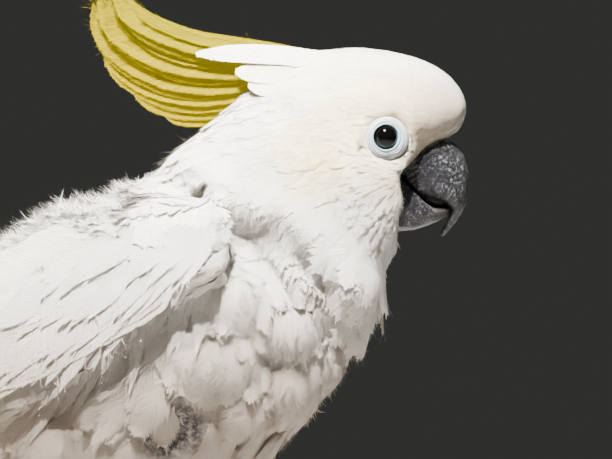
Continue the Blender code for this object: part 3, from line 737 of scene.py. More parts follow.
class Vanes:
    """Gathers feathers as arrays and makes them one mesh."""

    def __init__(self, name: str) -> None:
        """Starts an empty piece with a name."""
        self.name = name
        self.rows: dict[str, list[np.ndarray]] = {}
        self.faces: list[np.ndarray] = []
        self.count = 0

    def push(self, faces: np.ndarray, **rows: np.ndarray) -> None:
        """Adds equal feathers: every row set is feathers by points, and faces index one feather's points."""
        feathers, each = rows["co"].shape[:2]
        for key, row in rows.items():
            self.rows.setdefault(key, []).append(row.reshape(feathers * each, -1))
        shift = self.count + np.arange(feathers)[:, None, None] * each
        self.faces.append((faces[None] + shift).reshape(-1, 3))
        self.count += feathers * each

    def add(self, kind: FeatherKind, shafts: Shafts, rng: np.random.Generator, hang: float = 0.0,
            thick: float = 0.4 * MM) -> None:
        """Adds feathers of one kind.

        Args:
            kind: the feathers' make.
            shafts: where they are.
            rng: the source of chance.
            hang: droop beside the shaft, for each square metre out.
            thick: the shaft's radius at its root.
        """
        feathers, b = len(shafts.path), kind.barbs
        if not feathers:
            return
        chance = rng.random((feathers, 1))
        zero = np.zeros((feathers, b + 1))
        i = np.arange(b + 1)[None, :] + zero
        y0 = i / b * 0.92
        bow = kind.camber / shafts.half[:, None] + hang
        kept: list[dict[str, np.ndarray]] = []

        def keep(y: np.ndarray, x: np.ndarray, lift: np.ndarray, u: np.ndarray, v: float) -> int:
            """Stores points at y along and x out, lifted off the vane, and says where they start."""
            start = sum(row["co"].shape[1] for row in kept)
            across, up = read_path(shafts.across, y), read_path(shafts.up, y)
            tilt = (2 * bow * x)[..., None] * (1.0 if kind.rachis else 0.3)
            soft = unit(read_path(shafts.normal, y)) + across * tilt
            patch = np.stack((0.5 * np.sign(x) * v, np.clip(y, 0, 1) - 0.5), axis=-1)
            kept.append({
                "co": read_path(shafts.path, y) + across * x[..., None] + up * (lift - bow * x**2)[..., None],
                "vane": np.stack((u, np.full_like(u, v)), axis=-1),
                "own": np.stack((y, chance + 0 * y, shafts.tinted(y)), axis=-1),
                "bake": shafts.uv[:, None] + 0.003 * patch,
                "soft": np.concatenate((soft, np.full((*y.shape, 1), kind.soft)), axis=-1),
            })
            return start

        shaft = keep(y0, zero, zero, y0, 0.0)
        faces: list[tuple[int, int, int]] = []
        last = []
        for side in (1.0, -1.0):
            clump_at = (i + rng.random((feathers, 1)) * kind.clump) / kind.clump
            clump_no = np.floor(clump_at).astype(int)
            table = rng.normal(size=(feathers, int(clump_no.max()) + 1, 3))
            knot = np.take_along_axis(table, clump_no[..., None], axis=1)
            fine = rng.normal(size=(feathers, b + 1))
            span = kind.reach * (1.15 - y0)
            y1 = y0 + span
            rise, fall = np.clip(y1 / 0.22, 0, 1), np.clip((y1 - kind.point) / (kind.finish - kind.point), 0, 1)
            shape = (0.42 + 0.58 * rise * (2 - rise)) * np.clip(1 - fall**kind.taper, 0.03, 1.0)
            out = shafts.half[:, None] * shape
            pull = -kind.cling * (clump_at - clump_no - 0.5) * kind.clump / b
            y_tip = y1 + pull + kind.fray * 0.25 * (knot[..., 0] * 0.7 + fine * 0.5)
            wide = out * (1 + kind.fray * (0.8 * knot[..., 1] + 0.5 * fine))
            lift = out * kind.fray * 0.9 * knot[..., 2]
            mid = keep(y0 + span * kind.fringe**1.5, side * out * kind.fringe, lift * 0.25, y0, kind.fringe)
            tip = keep(y_tip[:, :b], side * wide[:, :b], lift[:, :b], y0[:, :b] + 0.46 / b, 1.0)
            last.append(mid + b)
            for k in range(b):
                s, m, t = shaft + k, mid + k, tip + k
                made = [(s, m, m + 1), (s, m + 1, s + 1), (m, t, m + 1)]
                faces += made if side < 0 else [(a, d, c) for a, c, d in made]
        end = keep(zero[:, :1] + kind.finish - 0.03, zero[:, :1], zero[:, :1], zero[:, :1] + 0.95, 1.0)
        faces += [(shaft + b, end, last[0]), (shaft + b, last[1], end)]
        self.push(np.array(faces), **{key: np.concatenate([row[key] for row in kept], axis=1) for key in kept[0]})
        if kind.filaments:
            self.add_filaments(kind, shafts, bow, rng)
        if kind.rachis:
            self.add_rachis(shafts, chance, thick)

    def add_filaments(self, kind: FeatherKind, shafts: Shafts, bow: np.ndarray, rng: np.random.Generator) -> None:
        """Adds loose fine barbs past the vane's edge, which bends by bow. Other arguments are as for add."""
        feathers, count = len(shafts.path), kind.filaments
        length = np.linalg.norm(np.diff(shafts.path, axis=1), axis=-1).sum(axis=1)[:, None]
        y0 = 0.2 + 0.78 * rng.random((feathers, count))
        side = np.where(rng.random((feathers, count)) < 0.5, -1.0, 1.0)
        x0 = side * shafts.half[:, None] * (0.3 + 0.4 * rng.random((feathers, count))) * np.clip(1.3 - y0, 0.1, 1.0)
        own_length = length * kind.filament * (0.6 + 0.8 * rng.random((feathers, count)))
        slant = np.radians(12 + 40 * rng.random((feathers, count)))
        curl = rng.normal(size=(feathers, count)) * 0.35
        stand = rng.normal(size=(feathers, count)) * 0.18 + kind.stand
        ahead, across, up = (read_path(a, y0) for a in (shafts.tangent, shafts.across, shafts.up))
        base = read_path(shafts.path, y0) + across * x0[..., None] - up * (bow * x0**2)[..., None]
        across = unit(across - up * (2 * bow * x0)[..., None])
        rows = []
        for share in (0.0, 0.5, 1.0):
            turn = slant + curl * share
            flat = ahead * np.cos(turn)[..., None] + across * (side * np.sin(turn))[..., None]
            rise = up * (own_length * stand * share**1.5)[..., None]
            rows.append(base + flat * (own_length * share)[..., None] + rise)
        cross = unit(np.cross(rows[2] - rows[0], up)) * 0.11 * MM
        co = (rows[0] - cross, rows[0] + cross, rows[1] - cross * 0.8, rows[1] + cross * 0.8, rows[2])
        co = np.stack(co, axis=2).reshape(feathers * count, 5, 3)
        grown = np.array((0.0, 0.0, 0.5, 0.5, 1.0)) + np.zeros((feathers * count, 5))
        y = y0.reshape(-1, 1) + 0 * grown
        many = np.repeat(np.arange(feathers), count)
        soft = np.repeat(unit(read_path(shafts.normal, y0)).reshape(-1, 1, 3), 5, axis=1)
        chance = rng.random((len(many), 1)) + 0 * y
        self.push(
            np.array(((0, 1, 3), (0, 3, 2), (2, 3, 4))),
            co=co,
            vane=np.stack((y, grown), axis=-1),
            own=np.stack((np.clip(y + grown * 0.2, 0, 1), chance, shafts.pick(many).tinted(y)), axis=-1),
            bake=shafts.uv[many][:, None] + 0.0015 * np.stack((0.8 * grown - 0.4, y - 0.5), axis=-1),
            soft=np.concatenate((soft, np.full((*y.shape, 1), 0.92)), axis=-1),
        )

    def add_rachis(self, shafts: Shafts, chance: np.ndarray, thick: float) -> None:
        """Adds a tapered three-sided shaft along each feather's middle. The arguments are as for add."""
        feathers, rows = shafts.path.shape[:2]
        radius = thick * (1.05 - 0.95 * np.linspace(0, 1, rows))[None, :, None]
        ring = ((-0.9, -0.3), (0.9, -0.3), (0.0, 0.55))
        co = np.stack([shafts.path + shafts.across * radius * x + shafts.up * radius * z for x, z in ring], axis=2)
        pairs = ((0, 1), (1, 2), (2, 0))
        faces = [f for r in range(0, 3 * rows - 3, 3) for a, b in pairs
                 for f in ((r + a, r + b, r + 3 + b), (r + a, r + 3 + b, r + 3 + a))]
        faces += [(0, 2, 1), (3 * rows - 3, 3 * rows - 2, 3 * rows - 1)]
        y = np.repeat(np.linspace(0, 1, rows), 3)[None] + np.zeros((feathers, 1))
        self.push(
            np.array(faces),
            co=co.reshape(feathers, rows * 3, 3),
            vane=np.stack((y, 0 * y), axis=-1),
            own=np.stack((0.5 + 0.5 * y, chance + 0 * y, shafts.tinted(y)), axis=-1),
            bake=shafts.uv[:, None] + 0.003 * np.stack((0 * y, y - 0.5), axis=-1),
            soft=np.zeros((feathers, rows * 3, 4)),
        )

    def finish(self, material: bpy.types.Material, slot: Slot, *nodes: str) -> bpy.types.Object:
        """Makes the gathered feathers one piece that replaces the named nodes, and returns it."""
        rows = {key: np.concatenate(parts) for key, parts in self.rows.items()}
        faces = np.concatenate(self.faces).astype(np.int32)
        mesh = bpy.data.meshes.new(self.name)
        mesh.vertices.add(self.count)
        mesh.vertices.foreach_set("co", rows["co"].astype(np.float32).ravel())
        mesh.loops.add(faces.size)
        mesh.loops.foreach_set("vertex_index", faces.ravel())
        mesh.polygons.add(len(faces))
        mesh.polygons.foreach_set("loop_start", np.arange(0, faces.size, 3, dtype=np.int32))
        for label, key in (("OFBake", "bake"), ("Vane", "vane")):
            layer = mesh.uv_layers.new(name=label)
            layer.data.foreach_set("uv", rows[key][faces.ravel()].astype(np.float32).ravel())
        keep_values(mesh, "Feather", *rows["own"].T)
        mesh.update()
        mesh.shade_smooth()
        flat = np.empty(self.count * 3, dtype=np.float32)
        mesh.vertex_normals.foreach_get("vector", flat)
        soft, weight = unit(rows["soft"][:, :3]), rows["soft"][:, 3:]
        flat = flat.reshape(-1, 3)
        flat *= np.where((flat * soft).sum(axis=1, keepdims=True) < 0, -1.0, 1.0) ** (weight > 0)
        mesh.normals_split_custom_set_from_vertices(unit(flat * (1 - weight) + soft * weight).tolist())
        return settle(add_piece(self.name, mesh, material), slot, *nodes)


# --------------------------------------------------------------------------------------------------
# The lie of the coat


@dataclass
class Lie:
    """How feathers lie, by place: guide points with a direction, a length and a lift, in millimetres.

    A guide at y counts on both sides, and its sideways direction points away from the middle.
    """

    guides: tuple[tuple[float, ...], ...] = (
        # x, y, z, along x, out y, up z, length, lift in degrees
        (221, 0, 255, -0.25, 0.15, 1.0, 4.0, 10),
        (214, 8, 246, -0.45, 0.55, 0.7, 3.4, 14),
        (209, 0, 272, -0.75, 0.1, 0.6, 5.5, 5),
        (188, 0, 283, -1.0, 0.1, 0.05, 7.0, 4),
        (158, 0, 285, -1.0, 0.1, 0.0, 12.0, 4),
        (188, 20, 270, -1.0, 0.1, 0.12, 6.5, 4),
        (204, 13, 252, -1.0, 0.2, 0.25, 4.6, 6),
        (203, 14, 240, -1.0, 0.2, 0.05, 3.8, 8),
        (190, 26, 256, -1.0, 0.0, 0.12, 5.0, 5),
        (172, 30, 246, -1.0, 0.0, -0.10, 8.0, 4),
        (155, 30, 262, -1.0, 0.0, -0.05, 12.0, 4),
        (150, 34, 238, -1.0, 0.0, -0.30, 13.0, 4.5),
        (188, 26, 230, -0.95, 0.1, -0.35, 6.0, 6),
        (178, 29, 216, -0.70, 0.0, -0.72, 8.0, 8),
        (190, 20, 213, -0.45, 0.1, -0.90, 6.0, 15),
        (196, 4, 201, -0.30, 0.2, -0.95, 5.5, 18),
        (190, 4, 186, -0.20, 0.1, -1.0, 6.5, 20),
        (178, 26, 190, -0.25, 0.0, -0.97, 7.5, 20),
        (152, 37, 212, -0.60, 0.0, -0.80, 16.0, 6),
        (126, 37, 222, -0.80, 0.0, -0.62, 17.0, 6),
        (128, 26, 252, -0.95, 0.0, -0.35, 15.0, 6),
        (112, 6, 254, -0.85, 0.0, -0.50, 16.0, 11),
        (97, 10, 236, -0.80, 0.0, -0.60, 18.0, 12),
        (160, 38, 176, -0.30, 0.0, -0.95, 8.5, 17),
        (140, 43, 190, -0.40, 0.0, -0.90, 17.0, 10),
        (176, 4, 160, -0.25, 0.1, -1.0, 8.5, 16),
        (160, 30, 140, -0.35, 0.0, -0.92, 26.0, 16),
        (140, 46, 150, -0.35, 0.0, -0.92, 30.0, 12),
        (150, 6, 108, -0.55, 0.0, -0.83, 28.0, 14),
        (105, 46, 120, -0.55, 0.0, -0.83, 32.0, 11),
        (90, 6, 64, -1.0, 0.0, -0.12, 28.0, 11),
        (60, 44, 105, -0.80, 0.0, -0.60, 32.0, 11),
        (20, 30, 60, -1.0, 0.0, -0.05, 28.0, 10),
        (-30, 20, 48, -1.0, 0.0, 0.0, 28.0, 9),
        (-90, 10, 48, -1.0, 0.0, 0.05, 26.0, 9),
        (-60, 8, 140, -0.80, 0.0, -0.60, 20.0, 14),
        (-100, 8, 98, -0.85, 0.0, -0.52, 22.0, 10),
        (-60, 30, 90, -0.92, 0.0, -0.35, 26.0, 10),
        (80, 10, 226, -0.92, 0.15, -0.35, 12.0, 30),
        (45, 8, 218, -0.95, 0.15, -0.10, 12.0, 48),
        (5, 8, 196, -0.88, 0.15, -0.30, 13.0, 48),
        (-30, 8, 170, -0.82, 0.1, -0.55, 16.0, 28),
        (50, 40, 200, -0.90, 0.1, -0.42, 12.0, 26),
        (114, 48, 200, -0.90, 0.1, -0.30, 6.5, 6),
        (104, 54, 196, -0.85, 0.0, -0.50, 8.0, 7),
        (90, 57, 190, -0.78, 0.0, -0.62, 11.0, 8),
        (62, 57, 178, -0.72, 0.0, -0.70, 15.0, 9),
        (20, 52, 160, -0.78, 0.0, -0.62, 16.0, 10),
        (66, 38, 66, -0.25, 0.0, -0.97, 12.0, 12),
        (57, 32, 36, -0.08, 0.0, -1.0, 7.0, 12),
    )

    blend: float = 5 * MM  # within which a guide has its full say
    parting: float = 6 * MM  # how far from the middle line feathers begin to point outwards

    def __post_init__(self) -> None:
        """Keeps the guides as arrays in metres."""
        g = np.array(self.guides, dtype=float)
        self.at = g[:, :3] * MM
        self.way = unit(g[:, 3:6])
        self.length = g[:, 6] * MM
        self.lift = np.radians(g[:, 7])

    def read(self, points: np.ndarray, normals: np.ndarray) -> tuple[np.ndarray, np.ndarray, np.ndarray]:
        """Unit directions along the skin, lengths in metres and lifts in radians, at places on the skin."""
        mirrored = points.copy()
        mirrored[:, 1] = np.abs(mirrored[:, 1])
        gap = ((mirrored[:, None, :] - self.at[None]) ** 2).sum(axis=-1)
        weight = 1.0 / (gap + self.blend**2) ** 2
        weight /= weight.sum(axis=1, keepdims=True)
        way = weight @ self.way
        way[:, 1] *= np.where(points[:, 1] < 0, -1.0, 1.0) * np.clip(np.abs(points[:, 1]) / self.parting, 0, 1)
        way = unit(way - normals * (way * normals).sum(axis=1, keepdims=True))
        return way, weight @ self.length, weight @ self.lift


@dataclass(frozen=True)
class Ledge:
    """An edge of the coat that overhangs what lies below or before it, drawn in the side view."""

    line: Line  # from rear to front, with the high side on its left
    drop: float  # how much lower the coat lies on its right
    reach: float  # how far from the edge it is level again
    out: float = 0.0  # only farther out than this from the middle
    lip: float = 0.0  # how far the edge itself is raised

    def fall(self, points: np.ndarray) -> tuple[np.ndarray, np.ndarray]:
        """How much lower the coat lies at places, and how far behind the ledge's edge they are."""
        line = np.array(self.line) * MM
        gap = side_of_line(points, line)
        near = np.clip(0.5 - gap / (1.6 * MM), 0, 1)
        far = np.clip(-gap / (self.reach * MM), 0, 1)
        ends = points[:, [0, 2]]
        box = (ends > line.min(axis=0) - 0.03) & (ends < line.max(axis=0) + 0.03)
        on = box.all(axis=1) * np.clip((np.abs(points[:, 1]) / MM - self.out) / 8, 0, 1)
        back = np.clip(gap / (16 * MM), 0, 1)
        lip = self.lip * MM * (1 - near) * (1 - back * back * (3 - 2 * back))
        return on * (self.drop * MM * near * (1 - far * far * (3 - 2 * far)) - lip), np.where(on > 0, gap, -1.0)


@dataclass(frozen=True)
class Puff:
    """A rounded lobe of the coat, by the place of its tip in the side view."""

    x: float
    z: float
    aim: float  # the way it points, in degrees behind straight down
    length: float
    half: float
    height: float

    def place(self, tree: BVHTree, side: int) -> dict[str, np.ndarray] | None:
        """The lobe's axes and tip on the skin, or nothing where it misses it."""
        aim = math.radians(self.aim)
        x, z = self.x + math.sin(aim) * self.length * 0.4, self.z + math.cos(aim) * self.length * 0.4
        hit, normal, _, _ = tree.ray_cast(Vector((x * MM, side * 0.2, z * MM)), Vector((0, -side, 0)))
        if hit is None:
            return None
        n = normal.normalized()
        d = Vector((-math.sin(aim), 0, -math.cos(aim)))
        d = (d - n * d.dot(n)).normalized()
        axes = {"n": np.array(n), "d": np.array(d), "b": np.array(n.cross(d))}
        axes["tip"] = np.array(hit) + axes["d"] * self.length * 0.4 * MM
        return axes

    def rise(self, points: np.ndarray, side: int, axes: dict[str, np.ndarray]) -> tuple[np.ndarray, ...]:
        """How high the lobe stands at places, how far they are from its edge, and the way it lies there."""
        off = points - axes["tip"]
        a, b, c = off @ axes["d"], off @ axes["b"] / (self.half * MM), off @ axes["n"]
        long = self.length * MM
        ahead = np.clip((a + 0.4 * long) / (0.4 * long), 0, None)
        behind = np.clip((a + long) / (0.6 * long), 0, 1)
        mouth_shade_tone = np.clip(1 - b * b - ahead * ahead, 0, 1)
        on = (np.abs(c) < 24 * MM) & (points[:, 1] * side > 0)
        rise = np.where(on, self.height * MM * mouth_shade_tone**0.45 * behind * behind * (3 - 2 * behind), 0.0)
        edge = -0.4 * long + 0.4 * long * np.sqrt(np.clip(1 - b * b, 0, 1))
        way = axes["d"][None] + axes["b"][None] * (b * 0.55)[:, None]
        return rise, edge - a, way


@dataclass(frozen=True)
class Bulge:
    """A soft swelling or hollow that runs right across the body, by its middle in the side view."""

    x: float
    z: float
    radius: float
    height: float

    def rise(self, points: np.ndarray) -> np.ndarray:
        """How high it stands at places."""
        gap = np.linalg.norm(points[:, [0, 2]] - np.array((self.x, self.z)) * MM, axis=1) / (self.radius * MM)
        return self.height * MM * np.exp(-2.2 * gap**2)


@dataclass
class Relief:
    """The coat's larger forms: ledges, lobes and bulges, in millimetres."""

    bulges: tuple[Bulge, ...] = (
        Bulge(92, 230, 26, 5.5),
        Bulge(187, 257, 9, 1.5),
        Bulge(172, 259, 10, 1.3),
        Bulge(201, 243, 8, -1.5),
        Bulge(167, 226, 16, 1.8),
        Bulge(140, 252, 13, -1.2),
        Bulge(135.5, 143, 8, -3.5),
        Bulge(91, 110, 14, -3.5),
        Bulge(60, 222, 30, -4.0),
        Bulge(20, 205, 34, -3.0),
        Bulge(-20, 180, 34, -2.5),
    )
    ledges: tuple[Ledge, ...] = (
        Ledge(((105.5, 221), (110, 216.5), (120.5, 208.5), (131, 206.5), (138.5, 206.8),
               (145, 199.5), (152, 192.5), (159.5, 184.5), (164.5, 177)), 8.0, 34, 12, 2.5),
        Ledge(((133, 196), (135.5, 192), (141, 182.5), (152, 170.5), (161, 157), (170, 150)), 4.5, 22, 6, 0.8),
        Ledge(((20, 118), (52, 139), (80, 157), (89, 165), (95, 172.5), (107.5, 179), (116, 186), (119.5, 193),
               (120, 200), (118, 206)), 4.5, 30, 18, 4.0),
    )
    puffs: tuple[Puff, ...] = (
        Puff(119, 158.5, -4, 34, 12.5, 5.0),
        Puff(147.5, 145.5, -8, 32, 15, 5.0),
        Puff(106, 127, 14, 38, 18, 5.5),
        Puff(126, 109, -6, 27, 10.5, 5.0),
        Puff(148, 114, -4, 34, 13, 4.5),
        Puff(104, 99, 4, 26, 6.5, 4.0),
        Puff(82, 110, 26, 34, 14, 4.0),
        Puff(52, 118, 40, 36, 15, 4.0),
        Puff(64, 92, 20, 30, 15, 4.5),
        Puff(28, 98, 35, 34, 14, 4.0),
        Puff(161, 128, 8, 26, 12, 4.0),
        Puff(136, 92, 10, 26, 13, 4.0),
        Puff(88, 84, 18, 28, 13, 4.0),
        Puff(112, 78, 22, 26, 13, 4.0),
        Puff(172, 168, 6, 18, 9, 3.0),
        Puff(150, 170, 2, 16, 8, 3.0),
        Puff(110, 203, 16, 22, 9, 3.0),
    )
    sunk: float = 3.2  # how far the skin lies lower where lobes stand on it
    edge_reach: float = 24 * MM  # how far behind an edge feathers are fitted to end at it
    shortest: float = 7 * MM  # the least length of a fitted feather
    lobe_least: float = 0.6 * MM  # the height from which a lobe turns feathers

    def place(self, tree: BVHTree) -> None:
        """Sets the lobes on the skin."""
        met = [(puff, side, puff.place(tree, side)) for puff in self.puffs for side, _ in SIDES]
        self.lobes = [lobe for lobe in met if lobe[2]]

    def rise(self, points: np.ndarray) -> np.ndarray:
        """How far out the skin is pushed at places."""
        low = sum(ledge.fall(points)[0] for ledge in self.ledges)
        high = np.zeros(len(points))
        for puff, side, axes in self.lobes:
            high = np.maximum(high, puff.rise(points, side, axes)[0])
        under = np.clip((0.20 - points[:, 2]) / 0.03, 0, 1) * np.clip((points[:, 0] + 0.02) / 0.05, 0, 1)
        return high - low - self.sunk * MM * under + sum(bulge.rise(points) for bulge in self.bulges)

    def comb(self, points: np.ndarray, way: np.ndarray, length: np.ndarray,
             rng: np.random.Generator) -> tuple[np.ndarray, np.ndarray]:
        """Turns feathers along the lobes, and fits their lengths to end at the nearest edge ahead.

        Args:
            points: the roots.
            way: their directions.
            length: their lengths.
            rng: the source of chance.

        Returns:
            The directions and the lengths.
        """
        spare = (1.0 + 4.0 * rng.random(len(points))) * MM
        for ledge in self.ledges:
            gap = ledge.fall(points)[1]
            fitted = (gap > 0) & (gap < self.edge_reach)
            length = np.where(fitted, np.maximum(gap * 1.1 + spare, self.shortest), length)
        best = np.zeros(len(points))
        for puff, side, axes in self.lobes:
            high, gap, lie = puff.rise(points, side, axes)
            mine = high > np.maximum(best, self.lobe_least)
            way = np.where(mine[:, None], unit(lie), way)
            length = np.where(mine, np.clip(gap + spare, self.shortest, puff.length * MM), length)
            best = np.maximum(best, high)
        return way, length


@dataclass
class BodyMap:
    """An unwrap of the body: along its middle line and round it, with places apart for wings, crest and tail."""

    line: Line = (
        (222, 252), (205, 246), (185, 238), (165, 222), (148, 200), (128, 178),
        (95, 158), (50, 135), (0, 112), (-50, 92), (-100, 75), (-118, 68),
    )

    def read(self, points: np.ndarray) -> np.ndarray:
        """The unwrap's place of points on the body, as u and v from 0 to 1."""
        line = np.array(self.line) * MM
        steps = np.linalg.norm(np.diff(line, axis=0), axis=1)
        starts = np.concatenate(([0.0], np.cumsum(steps)))
        p = points[:, [0, 2]]
        best = np.full(len(p), 1e9)
        along, above = np.zeros(len(p)), np.zeros(len(p))
        for k, (a, b) in enumerate(zip(line, line[1:])):
            run = (b - a) / steps[k]
            t = np.clip((p - a) @ run, 0, steps[k])
            off = p - (a + t[:, None] * run)
            gap = np.linalg.norm(off, axis=1)
            closer = gap < best
            best = np.where(closer, gap, best)
            along = np.where(closer, starts[k] + t, along)
            above = np.where(closer, off @ np.array((run[1], -run[0])), above)
        turn = np.arctan2(points[:, 1], above) / (2 * np.pi) + 0.5
        return np.stack((0.02 + 0.70 * turn, 0.02 + 0.96 * along / starts[-1]), axis=-1)


BEAK_FREE = 0.206  # x ahead of which the beak keeps its shape
BEAK_RUN = 0.012  # the length over which its rear spreads
BEAK_WIDER = 0.34  # how much wider the rear becomes
BEAK_BACK = 4.6 * MM  # how far back it is drawn
FACE_FOOT = 0.19  # the height under which nothing is near the beak


def beak_spread(co: np.ndarray) -> np.ndarray:
    """Points of the beak with its rear drawn back and out to the face, where the horn meets the feathers."""
    rear = np.clip((BEAK_FREE - co[:, :1]) / BEAK_RUN, 0, 1)
    made = co * (1 + np.array((0, BEAK_WIDER, 0)) * rear)
    return made - np.array((BEAK_BACK, 0, 0)) * rear


def beak_finder() -> BVHTree:
    """A finder of the beak's surface."""
    shape = node_shape("upper_beak", "lower_beak")
    moved = beak_spread(np.array([v.co for v in shape.verts]))
    for vert, at in zip(shape.verts, moved):
        vert.co = at
    return BVHTree.FromBMesh(shape)


@dataclass
class Skin:
    """The one skin of head, neck, trunk, thighs and wing arms, inside the coat by the coat's depth."""

    lie: Lie
    relief: Relief
    voxel: float = 2.0 * MM
    coat_share: float = 0.80  # how much of a feather's lift counts as the coat's depth
    wing_out: float = 2.0 * MM  # how much farther out the wing arms stand
    wing_fill: float = 6.0 * MM  # how far the wings' inner faces reach towards the body
    wing_depth: float = 5.0 * MM  # how close to a wing's arm a place on the wing is
    wing_front: float = 0.125  # x ahead of which there is no wing
    wing_foot: float = 0.09  # the height under which there is none
    tuck_depth: float = 6.0 * MM  # how much deeper the skin lies at the beak
    tuck_reach: float = 9.0 * MM  # how far from the beak it does
    tuck_top: float = 0.2345  # the height over which it does not
    face_edge: Line = (
        # z and x where the face ends at the beak
        (190, 230), (198, 197), (203, 193.5), (211, 193.3), (220, 191.5), (227, 191.2), (231, 195), (234, 200.5),
        (237, 208), (239, 214.5), (241, 221), (243, 227), (250, 240),
    )
    flesh: tuple[str, ...] = ("head", "neck", "trunk", "thigh_left", "thigh_right")
    arms: tuple[str, ...] = (
        "wing_coverts_left", "wing_secondaries_left", "wing_coverts_right", "wing_secondaries_right",
    )

    def build(self, material: bpy.types.Material) -> bpy.types.Object:
        """Builds the skin, keeps a finder of its surface, and returns the piece."""
        shape = node_shape(*self.flesh)
        for name in self.arms:
            arm = node_shape(name)
            arm.normal_update()
            outward = 1.0 if name.endswith("left") else -1.0
            for vert in arm.verts:
                if vert.normal.y * outward < 0.1:
                    vert.co.y -= outward * self.wing_fill
            copy = as_mesh(arm, "arm")
            shape.from_mesh(copy)
            bpy.data.meshes.remove(copy)
        mesh = remeshed(shape, self.voxel, 5, "skin")
        points, normals = mesh_arrays(mesh)
        self.wing = self.on_wing(points)
        _, length, lift = self.lie.read(points, normals)
        depth = self.coat_share * length * np.sin(lift) + self.tuck(points) - self.wing_out * self.wing
        points = points - normals * depth[:, None]
        mesh.vertices.foreach_set("co", points.ravel())
        mesh.update()
        plain = bmesh.new()
        plain.from_mesh(mesh)
        self.relief.place(BVHTree.FromBMesh(plain))
        plain.free()
        points = points + mesh_arrays(mesh)[1] * self.relief.rise(points)[:, None]
        heights, ends = np.array(self.face_edge).T * MM
        points[:, 0] = np.minimum(points[:, 0], np.interp(points[:, 2], heights, ends))
        mesh.vertices.foreach_set("co", points.ravel())
        relax(mesh, 2)
        mesh.update()
        self.points, self.normals = mesh_arrays(mesh)
        mesh.calc_loop_triangles()
        corners = np.empty(len(mesh.loop_triangles) * 3, dtype=np.int32)
        mesh.loop_triangles.foreach_get("vertices", corners)
        self.corners = corners.reshape(-1, 3)
        self.tree = BVHTree.FromPolygons(self.points.tolist(), self.corners.tolist())
        arms = ("wing_coverts_left", "wing_coverts_right")
        return settle(add_piece("skin", mesh, material), Slot.WHITE, *self.flesh, *arms)

    def tuck(self, points: np.ndarray) -> np.ndarray:
        """How much deeper the skin lies close to the beak, so that feathers end before it."""
        beak = beak_finder()
        made = np.zeros(len(points))
        for k in np.flatnonzero((points[:, 0] > 0.17) & (points[:, 2] > FACE_FOOT)):
            gap = beak.find_nearest(Vector(points[k]))[3]
            made[k] = self.tuck_depth * max(0.0, 1 - gap / self.tuck_reach)
        return made * np.clip((self.tuck_top - points[:, 2]) / 0.005, 0, 1)

    def on_wing(self, points: np.ndarray) -> np.ndarray:
        """How far each place belongs to the outer side of a wing's arm, from 0 to 1."""
        arm = BVHTree.FromBMesh(node_shape(*self.arms))
        body = BVHTree.FromBMesh(node_shape("head", "neck", "trunk"))
        made = np.zeros(len(points))
        for k in np.flatnonzero((points[:, 0] < self.wing_front) & (points[:, 2] > self.wing_foot)):
            p = Vector(points[k])
            to_arm = arm.find_nearest(p)[3]
            made[k] = to_arm < body.find_nearest(p)[3] and to_arm < self.wing_depth
        return made

    def scatter(self, rng: np.random.Generator, tries: int) -> tuple[np.ndarray, np.ndarray, np.ndarray]:
        """Random places over the skin, more where feathers are short.

        Args:
            rng: the source of chance.
            tries: how many places.

        Returns:
            Places, the skin's normals there, and how far each is on a wing.
        """
        a, b, c = (self.points[self.corners[:, k]] for k in range(3))
        cross = np.cross(b - a, c - a)
        _, length, _ = self.lie.read((a + b + c) / 3, unit(cross))
        weight = np.linalg.norm(cross, axis=1) / length**2
        picked = self.corners[rng.choice(len(weight), size=tries, p=weight / weight.sum())]
        r1, r2 = np.sqrt(rng.random((tries, 1))), rng.random((tries, 1))
        w = np.hstack((1 - r1, r1 * (1 - r2), r1 * r2))
        places = (self.points[picked] * w[..., None]).sum(axis=1)
        normals = unit((self.normals[picked] * w[..., None]).sum(axis=1))
        return places, normals, (self.wing[picked] * w).sum(axis=1)


@dataclass
class Region:
    """One part of the coat: its feathers' make and how close they stand."""

    name: str
    kind: FeatherKind
    spacing: float  # the distance between roots, as a share of the feather's length
    finish: str = "white"
    lie_flat: float = 1.0  # the share of the usual lift that these feathers keep


